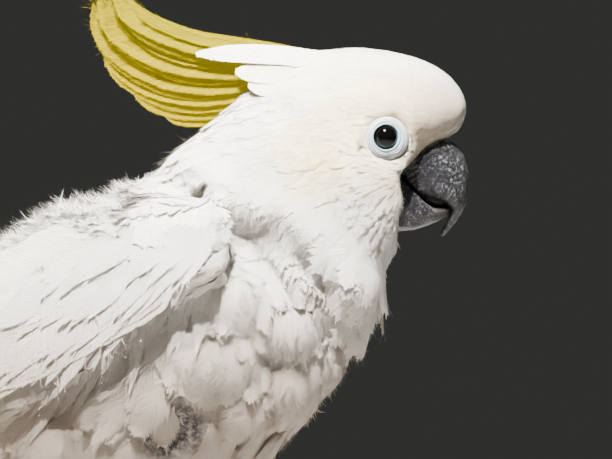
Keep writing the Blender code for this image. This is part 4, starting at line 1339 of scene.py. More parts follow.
REGIONS: tuple[Region, ...] = (
    Region("face", FeatherKind(
        barbs=5, width=0.30, rows=3, point=0.4, taper=1.8, fray=0.06, clump=2, camber=0.2, soft=0.64,
    ), 0.28, lie_flat=0.95),
    Region("cheek", FeatherKind(
        barbs=9, width=0.22, rows=4, taper=1.7, reach=0.45, fray=0.05, clump=2.5, camber=0.12, filaments=8,
        filament=0.3, stand=0.05, soft=0.74,
    ), 0.20, lie_flat=0.95),
    Region("ruff", FeatherKind(
        barbs=14, width=0.24, taper=1.8, reach=0.5, fray=0.07, clump=2.5, filaments=16, filament=0.26, spread=0.12,
        soft=0.72,
    ), 0.20, lie_flat=0.8),
    Region("throat", FeatherKind(
        barbs=11, width=0.36, rows=4, point=0.5, reach=0.45, fray=0.09, camber=0.3, droop=0.1, clump=2.0,
        filaments=8, spread=0.2, soft=0.48,
    ), 0.30, lie_flat=0.9),
    Region("neck", FeatherKind(
        barbs=14, width=0.28, reach=0.5, fray=0.07, filaments=16, filament=0.26, spread=0.12, soft=0.80,
    ), 0.22),
    Region("breast", FeatherKind(
        barbs=24, width=0.34, rows=6, point=0.5, taper=2.4, reach=0.52, fray=0.04, camber=0.16, filaments=56,
        stand=0.08, spread=0.12, soft=0.80,
    ), 0.19),
    Region("back", FeatherKind(
        barbs=6, width=0.24, rows=4, point=0.55, taper=1.6, fray=0.30, clump=2.2, cling=0.8, reach=0.5, camber=0.0,
        droop=0.0, filaments=40, filament=0.40, stand=0.22, spread=0.5, soft=0.85,
    ), 0.24),
    Region("belly", FeatherKind(
        barbs=16, width=0.32, rows=6, reach=0.5, fray=0.07, filaments=20, soft=0.85,
    ), 0.26),
    Region("thigh", FeatherKind(
        barbs=8, width=0.30, rows=4, taper=2.0, fray=0.12, filaments=4, spread=0.2, soft=0.8,
    ), 0.34),
    Region("shoulder", FeatherKind(
        barbs=11, width=0.40, rows=4, taper=1.9, fray=0.05, camber=0.2, droop=0.2, spread=0.12, soft=0.72,
    ), 0.27, lie_flat=0.8),
)


@dataclass
class Coat:
    """The feathers of head, body, thighs and shoulders, rooted in the skin."""

    skin: Skin
    lie: Lie
    body_map: BodyMap
    tries: int = 110000
    eye_clear: float = 8.0 * MM
    beak_clear: float = 1.0 * MM
    gaps: tuple[tuple[float, float, float, float], ...] = (
        # x and z of the gap, its radius, and how far up no feather is rooted
        (135.0, 143, 6.0, 16), (96, 108, 8.0, 8), (83, 103, 7.0, 6),
    )
    ruff_line: Line = (
        (96, 206), (109, 208.9), (131.3, 206.7), (138.5, 207.6), (144.8, 202.6), (152, 197.2), (158.3, 190),
        (164, 178), (168, 168), (172, 150),
    )
    throat_rear: Line = (
        # z and x of the line where the tufted throat begins
        (150, 166), (157, 161), (170, 152), (182, 143), (192, 150), (204, 166),
    )

    def part_names(self, points: np.ndarray, wing: np.ndarray) -> np.ndarray:
        """The number of the region that each place belongs to.

        Args:
            points: rows of x, y, z.
            wing: how far each is on a wing.

        Returns:
            One number each.
        """
        number = {region.name: k for k, region in enumerate(REGIONS)}
        x, y, z = points.T
        nape, crown = x > 0.105, z > 0.262  # ahead of the nape, and high on the crown
        ruff = side_of_line(points, np.array(self.ruff_line) * MM)
        bib = x > np.interp(z, *np.array(self.throat_rear).T * MM)
        head = (ruff > 0) & nape
        mantle = ((x < 0.084) | ((x < 0.094) & (np.abs(y) > 0.034))) & (z > 0.2055 - (0.075 - x) * 0.60)
        back = mantle & (x > -0.045)
        rules = (  # a later rule overrules an earlier one
            ("neck", ((x < 0.105) & (z > 0.13)) | (z > 0.186)),
            ("ruff", (ruff <= 0) & (x > 0.133) & (z > 0.165)),
            ("cheek", head),
            ("ruff", head & (ruff < 0.019) & (z < 0.235)),
            ("throat", bib & (z < 0.215) & (z > 0.146) & ((x > 0.166) | (ruff < 0.003))),
            ("face", ((x > 0.168) & (z > 0.223)) | ((x > 0.150) & crown)),
            ("cheek", nape & (x <= 0.150) & crown),
            ("back", back),
            ("belly", ((x < 0.095) & (z < 0.11)) | ((x < -0.02) & ~mantle)),
            ("thigh", (x > 0.045) & (x < 0.088) & (z < 0.062) & (np.abs(y) > 0.012)),
            ("shoulder", (wing > 0.5) & ~back),
        )
        made = np.full(len(points), number["breast"])
        for name, mine in rules:
            made[mine] = number[name]
        return made

    def clear_places(self, points: np.ndarray) -> np.ndarray:
        """Whether each place is clear of the eyes and of the gaps where grey down shows."""
        made = np.ones(len(points), dtype=bool)
        for _, side in SIDES:
            low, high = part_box(f"eye_ring_{side}")
            centre = np.array((low + high) / 2)
            away = np.linalg.norm((points - centre)[:, [0, 2]], axis=1) > self.eye_clear
            made &= away | (points[:, 1] * centre[1] < 0)
        for x, z, radius, rise in self.gaps:
            up = np.clip(points[:, 2] - z * MM, 0, rise * MM)
            made &= np.hypot(points[:, 0] - x * MM, points[:, 2] - z * MM - up) > radius * MM
        return made

    def clear_of_beak(self, path: np.ndarray) -> np.ndarray:
        """Whether each shaft stays clear of the beak."""
        beak = beak_finder()
        made = np.ones(len(path), dtype=bool)
        for k in np.flatnonzero((path[:, 0, 0] > 0.175) & (path[:, 0, 2] > FACE_FOOT)):
            for p in path[k]:
                near, normal, _, gap = beak.find_nearest(Vector(p))
                made[k] &= gap > self.beak_clear and (Vector(p) - near).dot(normal) > 0
        return made

    def roots(self, rng: np.random.Generator) -> dict[str, tuple[np.ndarray, ...]]:
        """For each region its feathers' roots, normals, directions, lengths and lifts.

        Args:
            rng: the source of chance.

        Returns:
            Arrays by the region's name.
        """
        points, normals, wing = self.skin.scatter(rng, self.tries)
        clear = self.clear_places(points)
        points, normals, wing = points[clear], normals[clear], wing[clear]
        way, length, lift = self.lie.read(points, normals)
        part = self.part_names(points, wing)
        spacing = length * np.array([r.spacing for r in REGIONS])[part]
        tree = kdtree.KDTree(len(points))
        for k, p in enumerate(points):
            tree.insert(p, k)
        tree.balance()
        state = np.zeros(len(points), dtype=np.int8)
        for k in range(len(points)):
            if not state[k]:
                for _, other, _ in tree.find_range(points[k], spacing[k]):
                    state[other] = 2
                state[k] = 1
        way, length = self.skin.relief.comb(points, way, length, rng)
        way = unit(way - normals * (way * normals).sum(axis=1, keepdims=True))
        found = {}
        for number, region in enumerate(REGIONS):
            mine = (state == 1) & (part == number)
            found[region.name] = tuple(a[mine] for a in (points, normals, way, length, lift))
        return found

    def lay(self, kind: FeatherKind, roots: np.ndarray, normals: np.ndarray, way: np.ndarray, length: np.ndarray,
            lift: np.ndarray, rng: np.random.Generator) -> tuple[np.ndarray, np.ndarray]:
        """Lays shafts along the skin.

        Args:
            kind: the feathers' make.
            roots: where they start.
            normals: the skin's normals there.
            way: their directions.
            length: their lengths.
            lift: how steeply they leave the skin.
            rng: the source of chance.

        Returns:
            Shaft points and vane normals, feathers by rows by 3.
        """
        rows = kind.rows
        path, up = np.empty((len(roots), rows, 3)), np.empty((len(roots), rows, 3))
        stray = rng.normal(size=len(roots)) * kind.spread
        share = np.linspace(0, 1, rows)
        skin_normals = self.skin.normals[self.skin.corners].sum(axis=1)
        for k, root in enumerate(roots):
            n = Vector(normals[k])
            d = Matrix.Rotation(stray[k], 3, n) @ Vector(way[k])
            q = Vector(root)
            step = length[k] / (rows - 1)
            rise = length[k] * math.sin(lift[k])
            for r in range(rows):
                if r:
                    ahead = q + d * step
                    near, _, index, _ = self.skin.tree.find_nearest(ahead)
                    fall = (ahead - near).dot(n)
                    if fall > kind.stiff * step:
                        near = ahead - n * kind.stiff * step
                        d = (near - q).normalized()
                        n = (n - d * n.dot(d)).normalized()
                    else:
                        n = Vector(skin_normals[index]).normalized()
                        d = (d - n * d.dot(n)).normalized()
                    q = near
                path[k, r] = q + n * (rise * share[r] * (1 - kind.droop * share[r]) + 0.0002)
                up[k, r] = n
        return path, up

    def build(self, finishes: Finishes) -> None:
        """Builds the coat's pieces, one for each side of each region, in the named feather materials."""
        rng = np.random.default_rng(SEED)
        for name, (roots, normals, way, length, lift) in self.roots(rng).items():
            region = next(r for r in REGIONS if r.name == name)
            varied = length * (0.9 + 0.2 * rng.random(len(length)))
            lifted = lift * region.lie_flat * (0.75 + 0.5 * rng.random(len(lift)))
            path, up = self.lay(region.kind, roots, normals, way, varied, lifted, rng)
            half = np.maximum(varied, 0.3 * self.lie.read(roots, normals)[1])
            half = half * region.kind.width * (0.85 + 0.3 * rng.random(len(length)))
            shafts = Shafts(path, up, half, self.body_map.read(roots), np.zeros((len(roots), 2)))
            clear = self.clear_of_beak(path)
            LOG.info("%s: %d feathers", name, int(clear.sum()))
            for side, label in SIDES:
                vanes = Vanes(f"feathers_{name}_{label}")
                vanes.add(region.kind, shafts.pick(clear & (roots[:, 1] * side >= 0)), rng)
                vanes.finish(finishes[region.finish], Slot.WHITE)


# --------------------------------------------------------------------------------------------------
# Crest, wings and tail


@dataclass
class Crest:
    """Nested curved yellow plumes and the white plumes that cover their roots, in millimetres."""

    spines: tuple[Line, ...] = (
        ((162.5, 280), (140.5, 285), (119.5, 288.5), (102.5, 291.2), (90.5, 295), (78.5, 300.5), (68.5, 308),
         (60.5, 317)),
        ((154.5, 278), (132.5, 279.5), (112.5, 279.5), (96.5, 281), (82.5, 285.5), (70.5, 293), (61.5, 303),
         (56, 312)),
        ((147.5, 275), (126.5, 273.5), (108.5, 271.8), (92.5, 273), (78.5, 278), (66.5, 286.5), (57.5, 297.5),
         (52.5, 307)),
        ((140.5, 272), (120.5, 267.8), (104.5, 265.6), (88.5, 267), (75.5, 272.5), (63.5, 282), (54.5, 294.5)),
        ((133.5, 268), (116.5, 262.8), (102.5, 260.8), (89.5, 261.8), (77.5, 267), (66.5, 275)),
        ((126.5, 263), (113.5, 257.8), (102.5, 256.2), (91.5, 257.2), (81.5, 261.6)),
    )
    half: tuple[float, ...] = (11.0, 10.6, 10.2, 9.6, 8.6, 7.2)
    yellow: Line = ((0.25, 0.45), (0.5, 0.7), (0.7, 0.85), (0.8, 0.95), (0.9, 1.0), (0.95, 1.0))
    covers: tuple[tuple[tuple[Place, ...], float, float], ...] = (
        # spine as x, y, z, then half width, then how yellow the tip is
        (((178, 11, 272), (158, 12.0, 277.5), (130, 12.2, 280.8), (96, 11.8, 280.5)), 5.0, 0.04),
        (((176, 15, 266), (152, 15.2, 270.5), (134, 14.8, 272.2), (116, 13.8, 272.4)), 6.0, 0.34),
        (((172, 18, 260), (150, 18.2, 265.0), (133, 16.8, 266.4), (123, 15.8, 266.4)), 5.4, 0.12),
    )
    bend: float = 95.0  # droop beside the spine, for each square metre out
    apart: Pair = (1.5, 4.0)  # how far a plume's side feathers stand out at its root, and how much more at its tip
    under: Pair = (1.2, 2.4)  # how much lower they lie, in the same way
    kind: FeatherKind = FeatherKind(
        barbs=90, width=1.0, rows=20, point=0.70, taper=2.6, finish=0.99, reach=0.16, fringe=0.95, fray=0.012,
        clump=5, cling=0.12, camber=0.0, filaments=130, filament=0.075, stand=0.0, rachis=True, soft=0.85,
    )
    cover_kind: FeatherKind = FeatherKind(
        barbs=70, width=1.0, rows=14, point=0.66, taper=2.6, finish=0.985, reach=0.13, fringe=0.92, fray=0.035,
        clump=5, cling=0.35, camber=0.10, soft=0.85,
    )

    def build(self, finishes: Finishes) -> None:
        """Builds the yellow plumes and the white covering plumes in the named feather materials."""
        rng = np.random.default_rng(SEED + 1)
        for number, (spine, half) in enumerate(zip(self.spines, self.half)):
            paths, ups = [], []
            for lean in (0.0, 1.0, -1.0):
                flat = smooth_path(list(spine), self.kind.rows) * MM
                path = np.stack((flat[:, 0], np.zeros(len(flat)), flat[:, 1]), axis=1)
                up = np.cross(unit(np.gradient(path, axis=0)), (0.0, 1.0, 0.0))
                up *= np.sign(up[:, 2:3] + 1e-9)
                grow = np.linspace(0, 1, len(path))[:, None]
                path = path + np.array((0, 1, 0)) * lean * (self.apart[0] + self.apart[1] * grow) * MM
                path = path - up * abs(lean) * (self.under[0] + self.under[1] * grow) * MM
                paths.append(path[0] + (path - path[0]) * (1.0 - 0.06 * abs(lean) - 0.02 * rng.random()))
                ups.append(unit(up + np.array((0, 1, 0)) * lean * 0.45))
            halves = np.array((1.0, 0.9, 0.9)) * half * MM
            uv = np.array([(0.76 + 0.03 * number, 0.90 + 0.02 * t) for t in range(3)])
            shafts = Shafts(np.array(paths), np.array(ups), halves, uv, np.array([self.yellow[number]] * 3))
            vanes = Vanes(f"crest_feather_{number + 1}")
            vanes.add(self.kind, shafts, rng, hang=self.bend, thick=0.4 * MM)
            vanes.finish(finishes["crest"], Slot.CREST, f"crest_plume_{number + 1}")
        for side, label in SIDES:
            rows = self.cover_kind.rows
            paths = [smooth_path(list(spine), rows) * MM * (1, side, 1) for spine, _, _ in self.covers]
            ups = [np.tile((0.0, side * 0.9, 0.42), (rows, 1)) for _ in paths]
            halves = np.array([half for _, half, _ in self.covers]) * MM
            uv = np.array([(0.76 + 0.02 * k, 0.84 if side > 0 else 0.80) for k in range(len(paths))])
            tint = np.array([(0.0, yellow) for _, _, yellow in self.covers])
            vanes = Vanes(f"crest_cover_feathers_{label}")
            vanes.add(self.cover_kind, Shafts(np.array(paths), np.array(ups), halves, uv, tint), rng)
            vanes.finish(finishes["white_long"], Slot.WHITE, f"crest_cover_{label}")


@dataclass(frozen=True)
class Row:
    """A row of long feathers on the wing. Pairs are the row's two ends."""

    count: int
    root_along: Pair  # shares of the wing's length
    root_across: Pair  # shares from its lower to its upper edge
    aim: Pair  # degrees behind straight down
    length: Pair
    half: Pair
    lift: Pair  # how far off the wing roots and tips are
    curve: float = 8.0  # how much farther back the tip turns, in degrees
    stray: float = 0.0  # in degrees


@dataclass
class Wing:
    """The long feathers of one folded wing, laid over its face in rows, in millimetres."""

    label: str
    side: int
    skin: Skin
    lower: Line = (
        (118.9, 201.0), (117.4, 192.0), (109.3, 183.6), (98.5, 176.4), (86.8, 167.4), (75.5, 156.0), (62.5, 142.0),
        (45.5, 132.0), (27.8, 125.0), (4.5, 113.5), (-32.5, 93.5), (-77.5, 70.5), (-122.5, 50.0), (-153.5, 38.5),
    )
    upper: Line = (
        (117.1, 206.5), (114.5, 211.5), (108.5, 217.0), (96.5, 220.4), (82.5, 219.6), (66.5, 214.8), (48.5, 207.6),
        (30.5, 198.6), (12.5, 186.8), (-11.5, 168.0), (-43.5, 141.0), (-79.5, 109.0), (-121.5, 73.0), (-156.5, 43.5),
    )
    primaries: Row = Row(10, (0.50, 0.54), (0.75, 0.25), (51, 62), (110, 176), (8.5, 7.0), (0.2, 0.4), 3)
    secondaries: Row = Row(13, (0.26, 0.46), (0.14, 0.92), (60, 56), (92, 96), (9.5, 9.5), (0.3, 0.9), 4)
    coverts: tuple[Row, ...] = (
        Row(15, (0.19, 0.50), (0.16, 0.24), (4, 28), (34, 46), (4.2, 4.8), (1.0, 4.0), 12, 9),
        Row(19, (0.24, 0.66), (0.32, 0.60), (22, 46), (46, 44), (5.8, 6.2), (0.3, 2.2), 12, 6),
        Row(19, (0.20, 0.60), (0.46, 0.74), (24, 46), (38, 38), (5.8, 6.2), (0.4, 2.4), 12, 6),
        Row(18, (0.16, 0.52), (0.60, 0.88), (26, 46), (30, 32), (5.4, 5.8), (0.5, 2.6), 12, 7),
    )
    quill: FeatherKind = FeatherKind(
        barbs=54, width=1.0, rows=14, point=0.72, taper=2.2, reach=0.09, fringe=0.94, fray=0.015, clump=7, cling=0.3,
        camber=0.06, rachis=True, soft=0.55,
    )
    covert: FeatherKind = FeatherKind(
        barbs=34, width=1.0, rows=8, point=0.30, taper=1.25, reach=0.24, fringe=0.86, fray=0.035, clump=3.5,
        cling=0.3, camber=0.14, filaments=18, filament=0.12, stand=0.04, soft=0.6,
    )

    def __post_init__(self) -> None:
        """Finds the wing's outer face."""
        names = (f"wing_{part}_{self.label}" for part in ("coverts", "secondaries", "primaries"))
        self.face = BVHTree.FromBMesh(node_shape(*names))

    def drape(self, row: Row, t: float, count: int, rng: np.random.Generator) -> np.ndarray:
        """Lays one shaft of a row over the wing and body.

        Args:
            row: the row.
            t: how far along the row the feather is.
            count: points along the shaft.
            rng: the source of chance.

        Returns:
            The shaft's points, in metres.
        """
        def between(pair: Pair) -> float:
            """The row's value at t."""
            return pair[0] + (pair[1] - pair[0]) * t

        at = between(row.root_along) * (len(self.lower) - 1)
        marks = np.arange(len(self.lower))
        edges = (np.array(edge).T for edge in (self.lower, self.upper))
        low, high = (np.array([np.interp(at, marks, row) for row in edge]) for edge in edges)
        spot_at = low + (high - low) * between(row.root_across)
        aim = math.radians(between(row.aim) + rng.normal() * row.stray)
        step = between(row.length) * (0.93 + 0.14 * rng.random()) / (count - 1)
        path, out = np.empty((count, 3)), 20 * MM
        for k in range(count):
            share = k / (count - 1)
            ray = Vector((spot_at[0] * MM, self.side * 0.2, spot_at[1] * MM)), Vector((0, -self.side, 0))
            hits = [tree.ray_cast(*ray)[0] for tree in (self.face, self.skin.tree)]
            found = [abs(hit.y) for hit in hits if hit is not None]
            out = max(found) if found else out
            path[k] = spot_at[0] * MM, out, spot_at[1] * MM
            turn = aim + math.radians(row.curve) * share
            spot_at = spot_at + np.array((-math.sin(turn), -math.cos(turn))) * step
        for _ in range(4):
            path[1:-1, 1] = 0.5 * path[1:-1, 1] + 0.25 * (path[:-2, 1] + path[2:, 1])
        path[:, 1] += (row.lift[0] + (row.lift[1] - row.lift[0]) * np.linspace(0, 1, count)) * MM
        path[:, 1] *= self.side
        return path

    def add_row(self, vanes: Vanes, kind: FeatherKind, row: Row, place: float, tint: Pair,
                rng: np.random.Generator) -> None:
        """Adds a row's feathers to a piece.

        Args:
            vanes: the piece.
            kind: the feathers' make.
            row: the row.
            place: the row's place on the unwrap.
            tint: how yellow base and tip are.
            rng: the source of chance.
        """
        share = np.linspace(0, 1, row.count)
        paths = np.array([self.drape(row, t, kind.rows, rng) for t in share])
        paths[..., 1] += self.side * (np.arange(row.count) * 0.16 * MM % (0.8 * MM))[:, None]
        normals = np.zeros_like(paths) + (0.0, self.side, 0.30)
        half = (row.half[0] + (row.half[1] - row.half[0]) * share) * MM
        uv = np.stack(((0.76 if self.side > 0 else 0.88) + 0.11 * share, np.full(row.count, place)), axis=-1)
        vanes.add(kind, Shafts(paths, normals, half, uv, np.tile(tint, (row.count, 1))), rng, thick=0.4 * MM)

    def build(self, finishes: Finishes) -> None:
        """Builds the wing's pieces in the named feather materials."""
        rng = np.random.default_rng(SEED + (11 if self.side > 0 else 12))
        for name, row, place, node in (
            ("wing_primary_feathers", self.primaries, 0.72, "wing_primaries"),
            ("wing_secondary_feathers", self.secondaries, 0.68, "wing_secondaries"),
        ):
            vanes = Vanes(f"{name}_{self.label}")
            self.add_row(vanes, self.quill, row, place, (0.10, 0.02), rng)
            vanes.finish(finishes["quill"], Slot.WING, f"{node}_{self.label}")
        vanes = Vanes(f"wing_covert_feathers_{self.label}")
        for number, row in enumerate(self.coverts):
            self.add_row(vanes, self.covert, row, 0.64 - 0.03 * number, (0.0, 0.0), rng)
        vanes.finish(finishes["quill"], Slot.WING)


@dataclass
class Tail:
    """Twelve tail feathers in a closed stack, with their coverts above and below."""

    feathers: int = 12
    root: Pair = (-85.5, 75.0)
    tip: Pair = (-223.0, 9.0)
    half_root: float = 7.0
    half_tip: float = 21.0
    roof: float = 9.0  # how much lower the outer feathers lie at the tip
    stack: Pair = (3.2, 0.2)  # how much higher the middle feather lies than the outermost, and every other one
    half: float = 8.2 * MM  # half width of the long feathers
    covert_half: float = 6.5 * MM
    covert_rows: int = 4
    coverts_each: int = 7  # in each row
    quill: FeatherKind = FeatherKind(
        barbs=60, width=1.0, rows=12, point=0.82, taper=2.6, reach=0.09, fringe=0.94, fray=0.015, clump=7, cling=0.3,
        camber=0.08, rachis=True, soft=0.4,
    )
    covert: FeatherKind = FeatherKind(
        barbs=22, width=1.0, rows=6, point=0.5, taper=2.2, reach=0.22, fray=0.08, clump=3, camber=0.15, filaments=10,
        filament=0.16,
    )

    def shaft(self, place: float, grow: float, rows: int, start: float = 0.0) -> np.ndarray:
        """A shaft in the tail's fan.

        Args:
            place: from -1 at the right edge to 1 at the left.
            grow: where it ends, as a share of the tail's length.
            rows: points along it.
            start: where it begins.

        Returns:
            The shaft's points.
        """
        root, tip = np.array(self.root) * MM, np.array(self.tip) * MM
        t = start + (grow - start) * np.linspace(0, 1, rows)
        middle = root + (tip - root) * t[:, None]
        spread = (self.half_root + (self.half_tip - self.half_root) * t) * MM * place
        return np.stack((middle[:, 0], spread, middle[:, 1] - self.roof * MM * place**2 * t), axis=1)

    def build(self, finishes: Finishes) -> None:
        """Builds the tail's pieces in the named feather materials."""
        rng = np.random.default_rng(SEED + 21)
        places = (np.arange(self.feathers) + 0.5) / self.feathers * 2 - 1
        paths = np.array([self.shaft(p, 1.0 - 0.055 * p * p - 0.01 * rng.random(), self.quill.rows) for p in places])
        high = (1 - np.abs(places)) * self.stack[0] + self.stack[1] * (np.arange(self.feathers) % 2)
        paths[..., 2] += high[:, None] * MM
        ups = np.array([np.tile((0.0, 0.22 * p, 1.0), (self.quill.rows, 1)) for p in places])
        uv = np.stack((0.76 + 0.018 * np.arange(self.feathers), np.full(self.feathers, 0.50)), axis=-1)
        shafts = Shafts(paths, ups, np.full(self.feathers, self.half), uv, np.tile((0.10, 0.02), (self.feathers, 1)))
        vanes = Vanes("tail_long_feathers")
        vanes.add(self.quill, shafts, rng, thick=0.5 * MM)
        vanes.finish(finishes["quill"], Slot.TAIL, "tail")
        for name, level, facing, tint in (("above", 4.5, 1.0, 0.02), ("below", -2.5, -1.0, 0.16)):
            paths, ups = [], []
            for row in range(self.covert_rows):
                for k in range(self.coverts_each):
                    place = ((k + 0.5 * (row % 2)) / 6.5 * 2 - 1) * 0.76
                    start = -0.06 + 0.10 * row
                    path = self.shaft(place, start + 0.30 + 0.05 * rng.random(), self.covert.rows, start)
                    rise = facing * np.linspace(0, 1.5, self.covert.rows) * MM
                    path[:, 2] += (level - 0.5 * row * facing) * MM + rise
                    paths.append(path)
                    ups.append(np.tile((0.0, 0.25 * place, facing), (self.covert.rows, 1)))
            count = len(paths)
            uv = np.array([(0.76 + 0.008 * k, 0.46 if facing > 0 else 0.42) for k in range(count)])
            halves, tints = np.full(count, self.covert_half), np.tile((tint * 0.5, tint), (count, 1))
            shafts = Shafts(np.array(paths), np.array(ups), halves, uv, tints)
            vanes = Vanes(f"tail_coverts_{name}")
            vanes.add(self.covert, shafts, rng)
            vanes.finish(finishes["white"], Slot.TAIL)


# --------------------------------------------------------------------------------------------------
# Bare parts


@dataclass
class Beak:
    """Upper and lower beak as fine worn horn, and the tongue that shows between them."""

    voxel: float = 0.45 * MM
    ripple: float = 0.10 * MM
    forward: float = 2.4 * MM  # how far the lower half's tip is set towards the hook
    tip_rise: float = 1.7 * MM  # how far the lower half's tip is raised towards the upper half
    cheek_rise: float = 11.0 * MM  # how much higher the lower half's sides reach at the gape
    gape: float = 0.2035  # the height over which the lower half's sides are raised
    mouth: float = 0.2035  # x ahead of which the upper half's inside is painted with the mouth's shade
    tongue_size: Place = (10.0 * MM, 4.6 * MM, 4.2 * MM)
    tongue_tilt: float = math.radians(24)

    def build(self, material: bpy.types.Material) -> None:
        """Builds both halves and the tongue.

        Args:
            material: the horn finish.
        """
        rng = np.random.default_rng(SEED + 31)
        for name in ("upper_beak", "lower_beak"):
            mesh = remeshed(node_shape(name), self.voxel, 6, f"{name}_horn")
            co, nor = mesh_arrays(mesh)
            waves = np.zeros(len(co))
            for _ in range(9):
                aim = unit(rng.normal(size=3)) * 2 * np.pi / (rng.uniform(1.6, 5.0) * MM)
                waves += np.sin(co @ aim + rng.uniform(0, 6.28))
            co = beak_spread(co + nor * (waves * self.ripple / 3)[:, None])
            if name == "lower_beak":
                ahead = (co[:, 0] - co[:, 0].min()) / np.ptp(co[:, 0])
                co[:, 0] += self.forward * ahead**2
                co[:, 2] += self.tip_rise * np.clip((ahead - 0.45) / 0.4, 0, 1)
                high = np.clip((co[:, 2] - self.gape) / 0.006, 0, 1)
                beside = np.clip(np.abs(co[:, 1]) / (9 * MM), 0, 1.2) ** 1.5
                co[:, 2] += self.cheek_rise * np.clip(1 - ahead / 0.74, 0, 1) ** 0.6 * high * beside
            mesh.vertices.foreach_set("co", co.ravel())
            self.paint_wear_and_mouth_shade(mesh, name, co, nor)
            mesh.update()
            settle(add_piece(f"{name}_horn", mesh, material), Slot.BEAK, name)
        self.build_tongue(material)

    def paint_wear_and_mouth_shade(self, mesh: bpy.types.Mesh, name: str, co: np.ndarray, nor: np.ndarray) -> None:
        """Stores where the horn is streaked, where its cutting edge is, and where the mouth's inside is painted near
        black as shade.

        Args:
            mesh: the beak half's mesh.
            name: which half it is.
            co: its points.
            nor: their normals.
        """
        low, high = co.min(axis=0), co.max(axis=0)
        if name == "upper_beak":
            ridge = np.clip(1 - np.abs(co[:, 1]) / (7 * MM), 0, 1) * np.clip(nor[:, 0] * 1.5, 0, 1)
            rim = np.zeros(len(co))
            # painted shade on the upper half's inside, facing back and down under the hook
            mouth_shade = np.clip(-nor[:, 0] * 1.6 - 0.3, 0, 1) * np.clip(-nor[:, 2] + 0.4, 0, 1) * (co[:, 0] > self.mouth)
        else:
            ridge = np.zeros(len(co))
            near_top = np.clip((co[:, 2] - low[2]) / (high[2] - low[2]), 0, 1)
            ahead = np.clip((co[:, 0] - low[0]) / (high[0] - low[0]), 0, 1)
            rim = 0.45 * np.clip(nor[:, 2] * 1.4 - 0.2, 0, 1) * ahead * near_top
            rim = np.maximum(rim, np.clip(ahead * 2.2 - 1.35, 0, 1) * 0.22)
            # painted shade on the lower half's top, under the upper half
            mouth_shade = np.clip(nor[:, 2] - 0.5, 0, 1) * np.clip(1 - np.abs(co[:, 1]) / (7 * MM), 0, 1) * (ahead > 0.4)
        keep_values(mesh, "WearAndMouthShade", ridge, rim, mouth_shade)

    def build_tongue(self, material: bpy.types.Material) -> None:
        """Builds the thick dark tongue between the halves."""
        upper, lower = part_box("upper_beak"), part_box("lower_beak")
        shape = bmesh.new()
        bmesh.ops.create_uvsphere(shape, u_segments=32, v_segments=20, radius=1.0)
        bmesh.ops.scale(shape, vec=self.tongue_size, verts=shape.verts)
        bmesh.ops.rotate(shape, matrix=Matrix.Rotation(self.tongue_tilt, 3, "Y"), verts=shape.verts)
        at = Vector(((lower[0].x + lower[1].x) / 2 + 3.6 * MM, 0, (upper[0].z + lower[1].z) / 2 + 4.4 * MM))
        bmesh.ops.translate(shape, vec=at, verts=shape.verts)
        mesh = as_mesh(shape, "tongue")
        # the dark tongue takes the near-black painted mouth shade all over
        keep_values(mesh, "WearAndMouthShade", 0.0, 0.0, 1.0)
        settle(add_piece("tongue", mesh, material), Slot.BEAK)


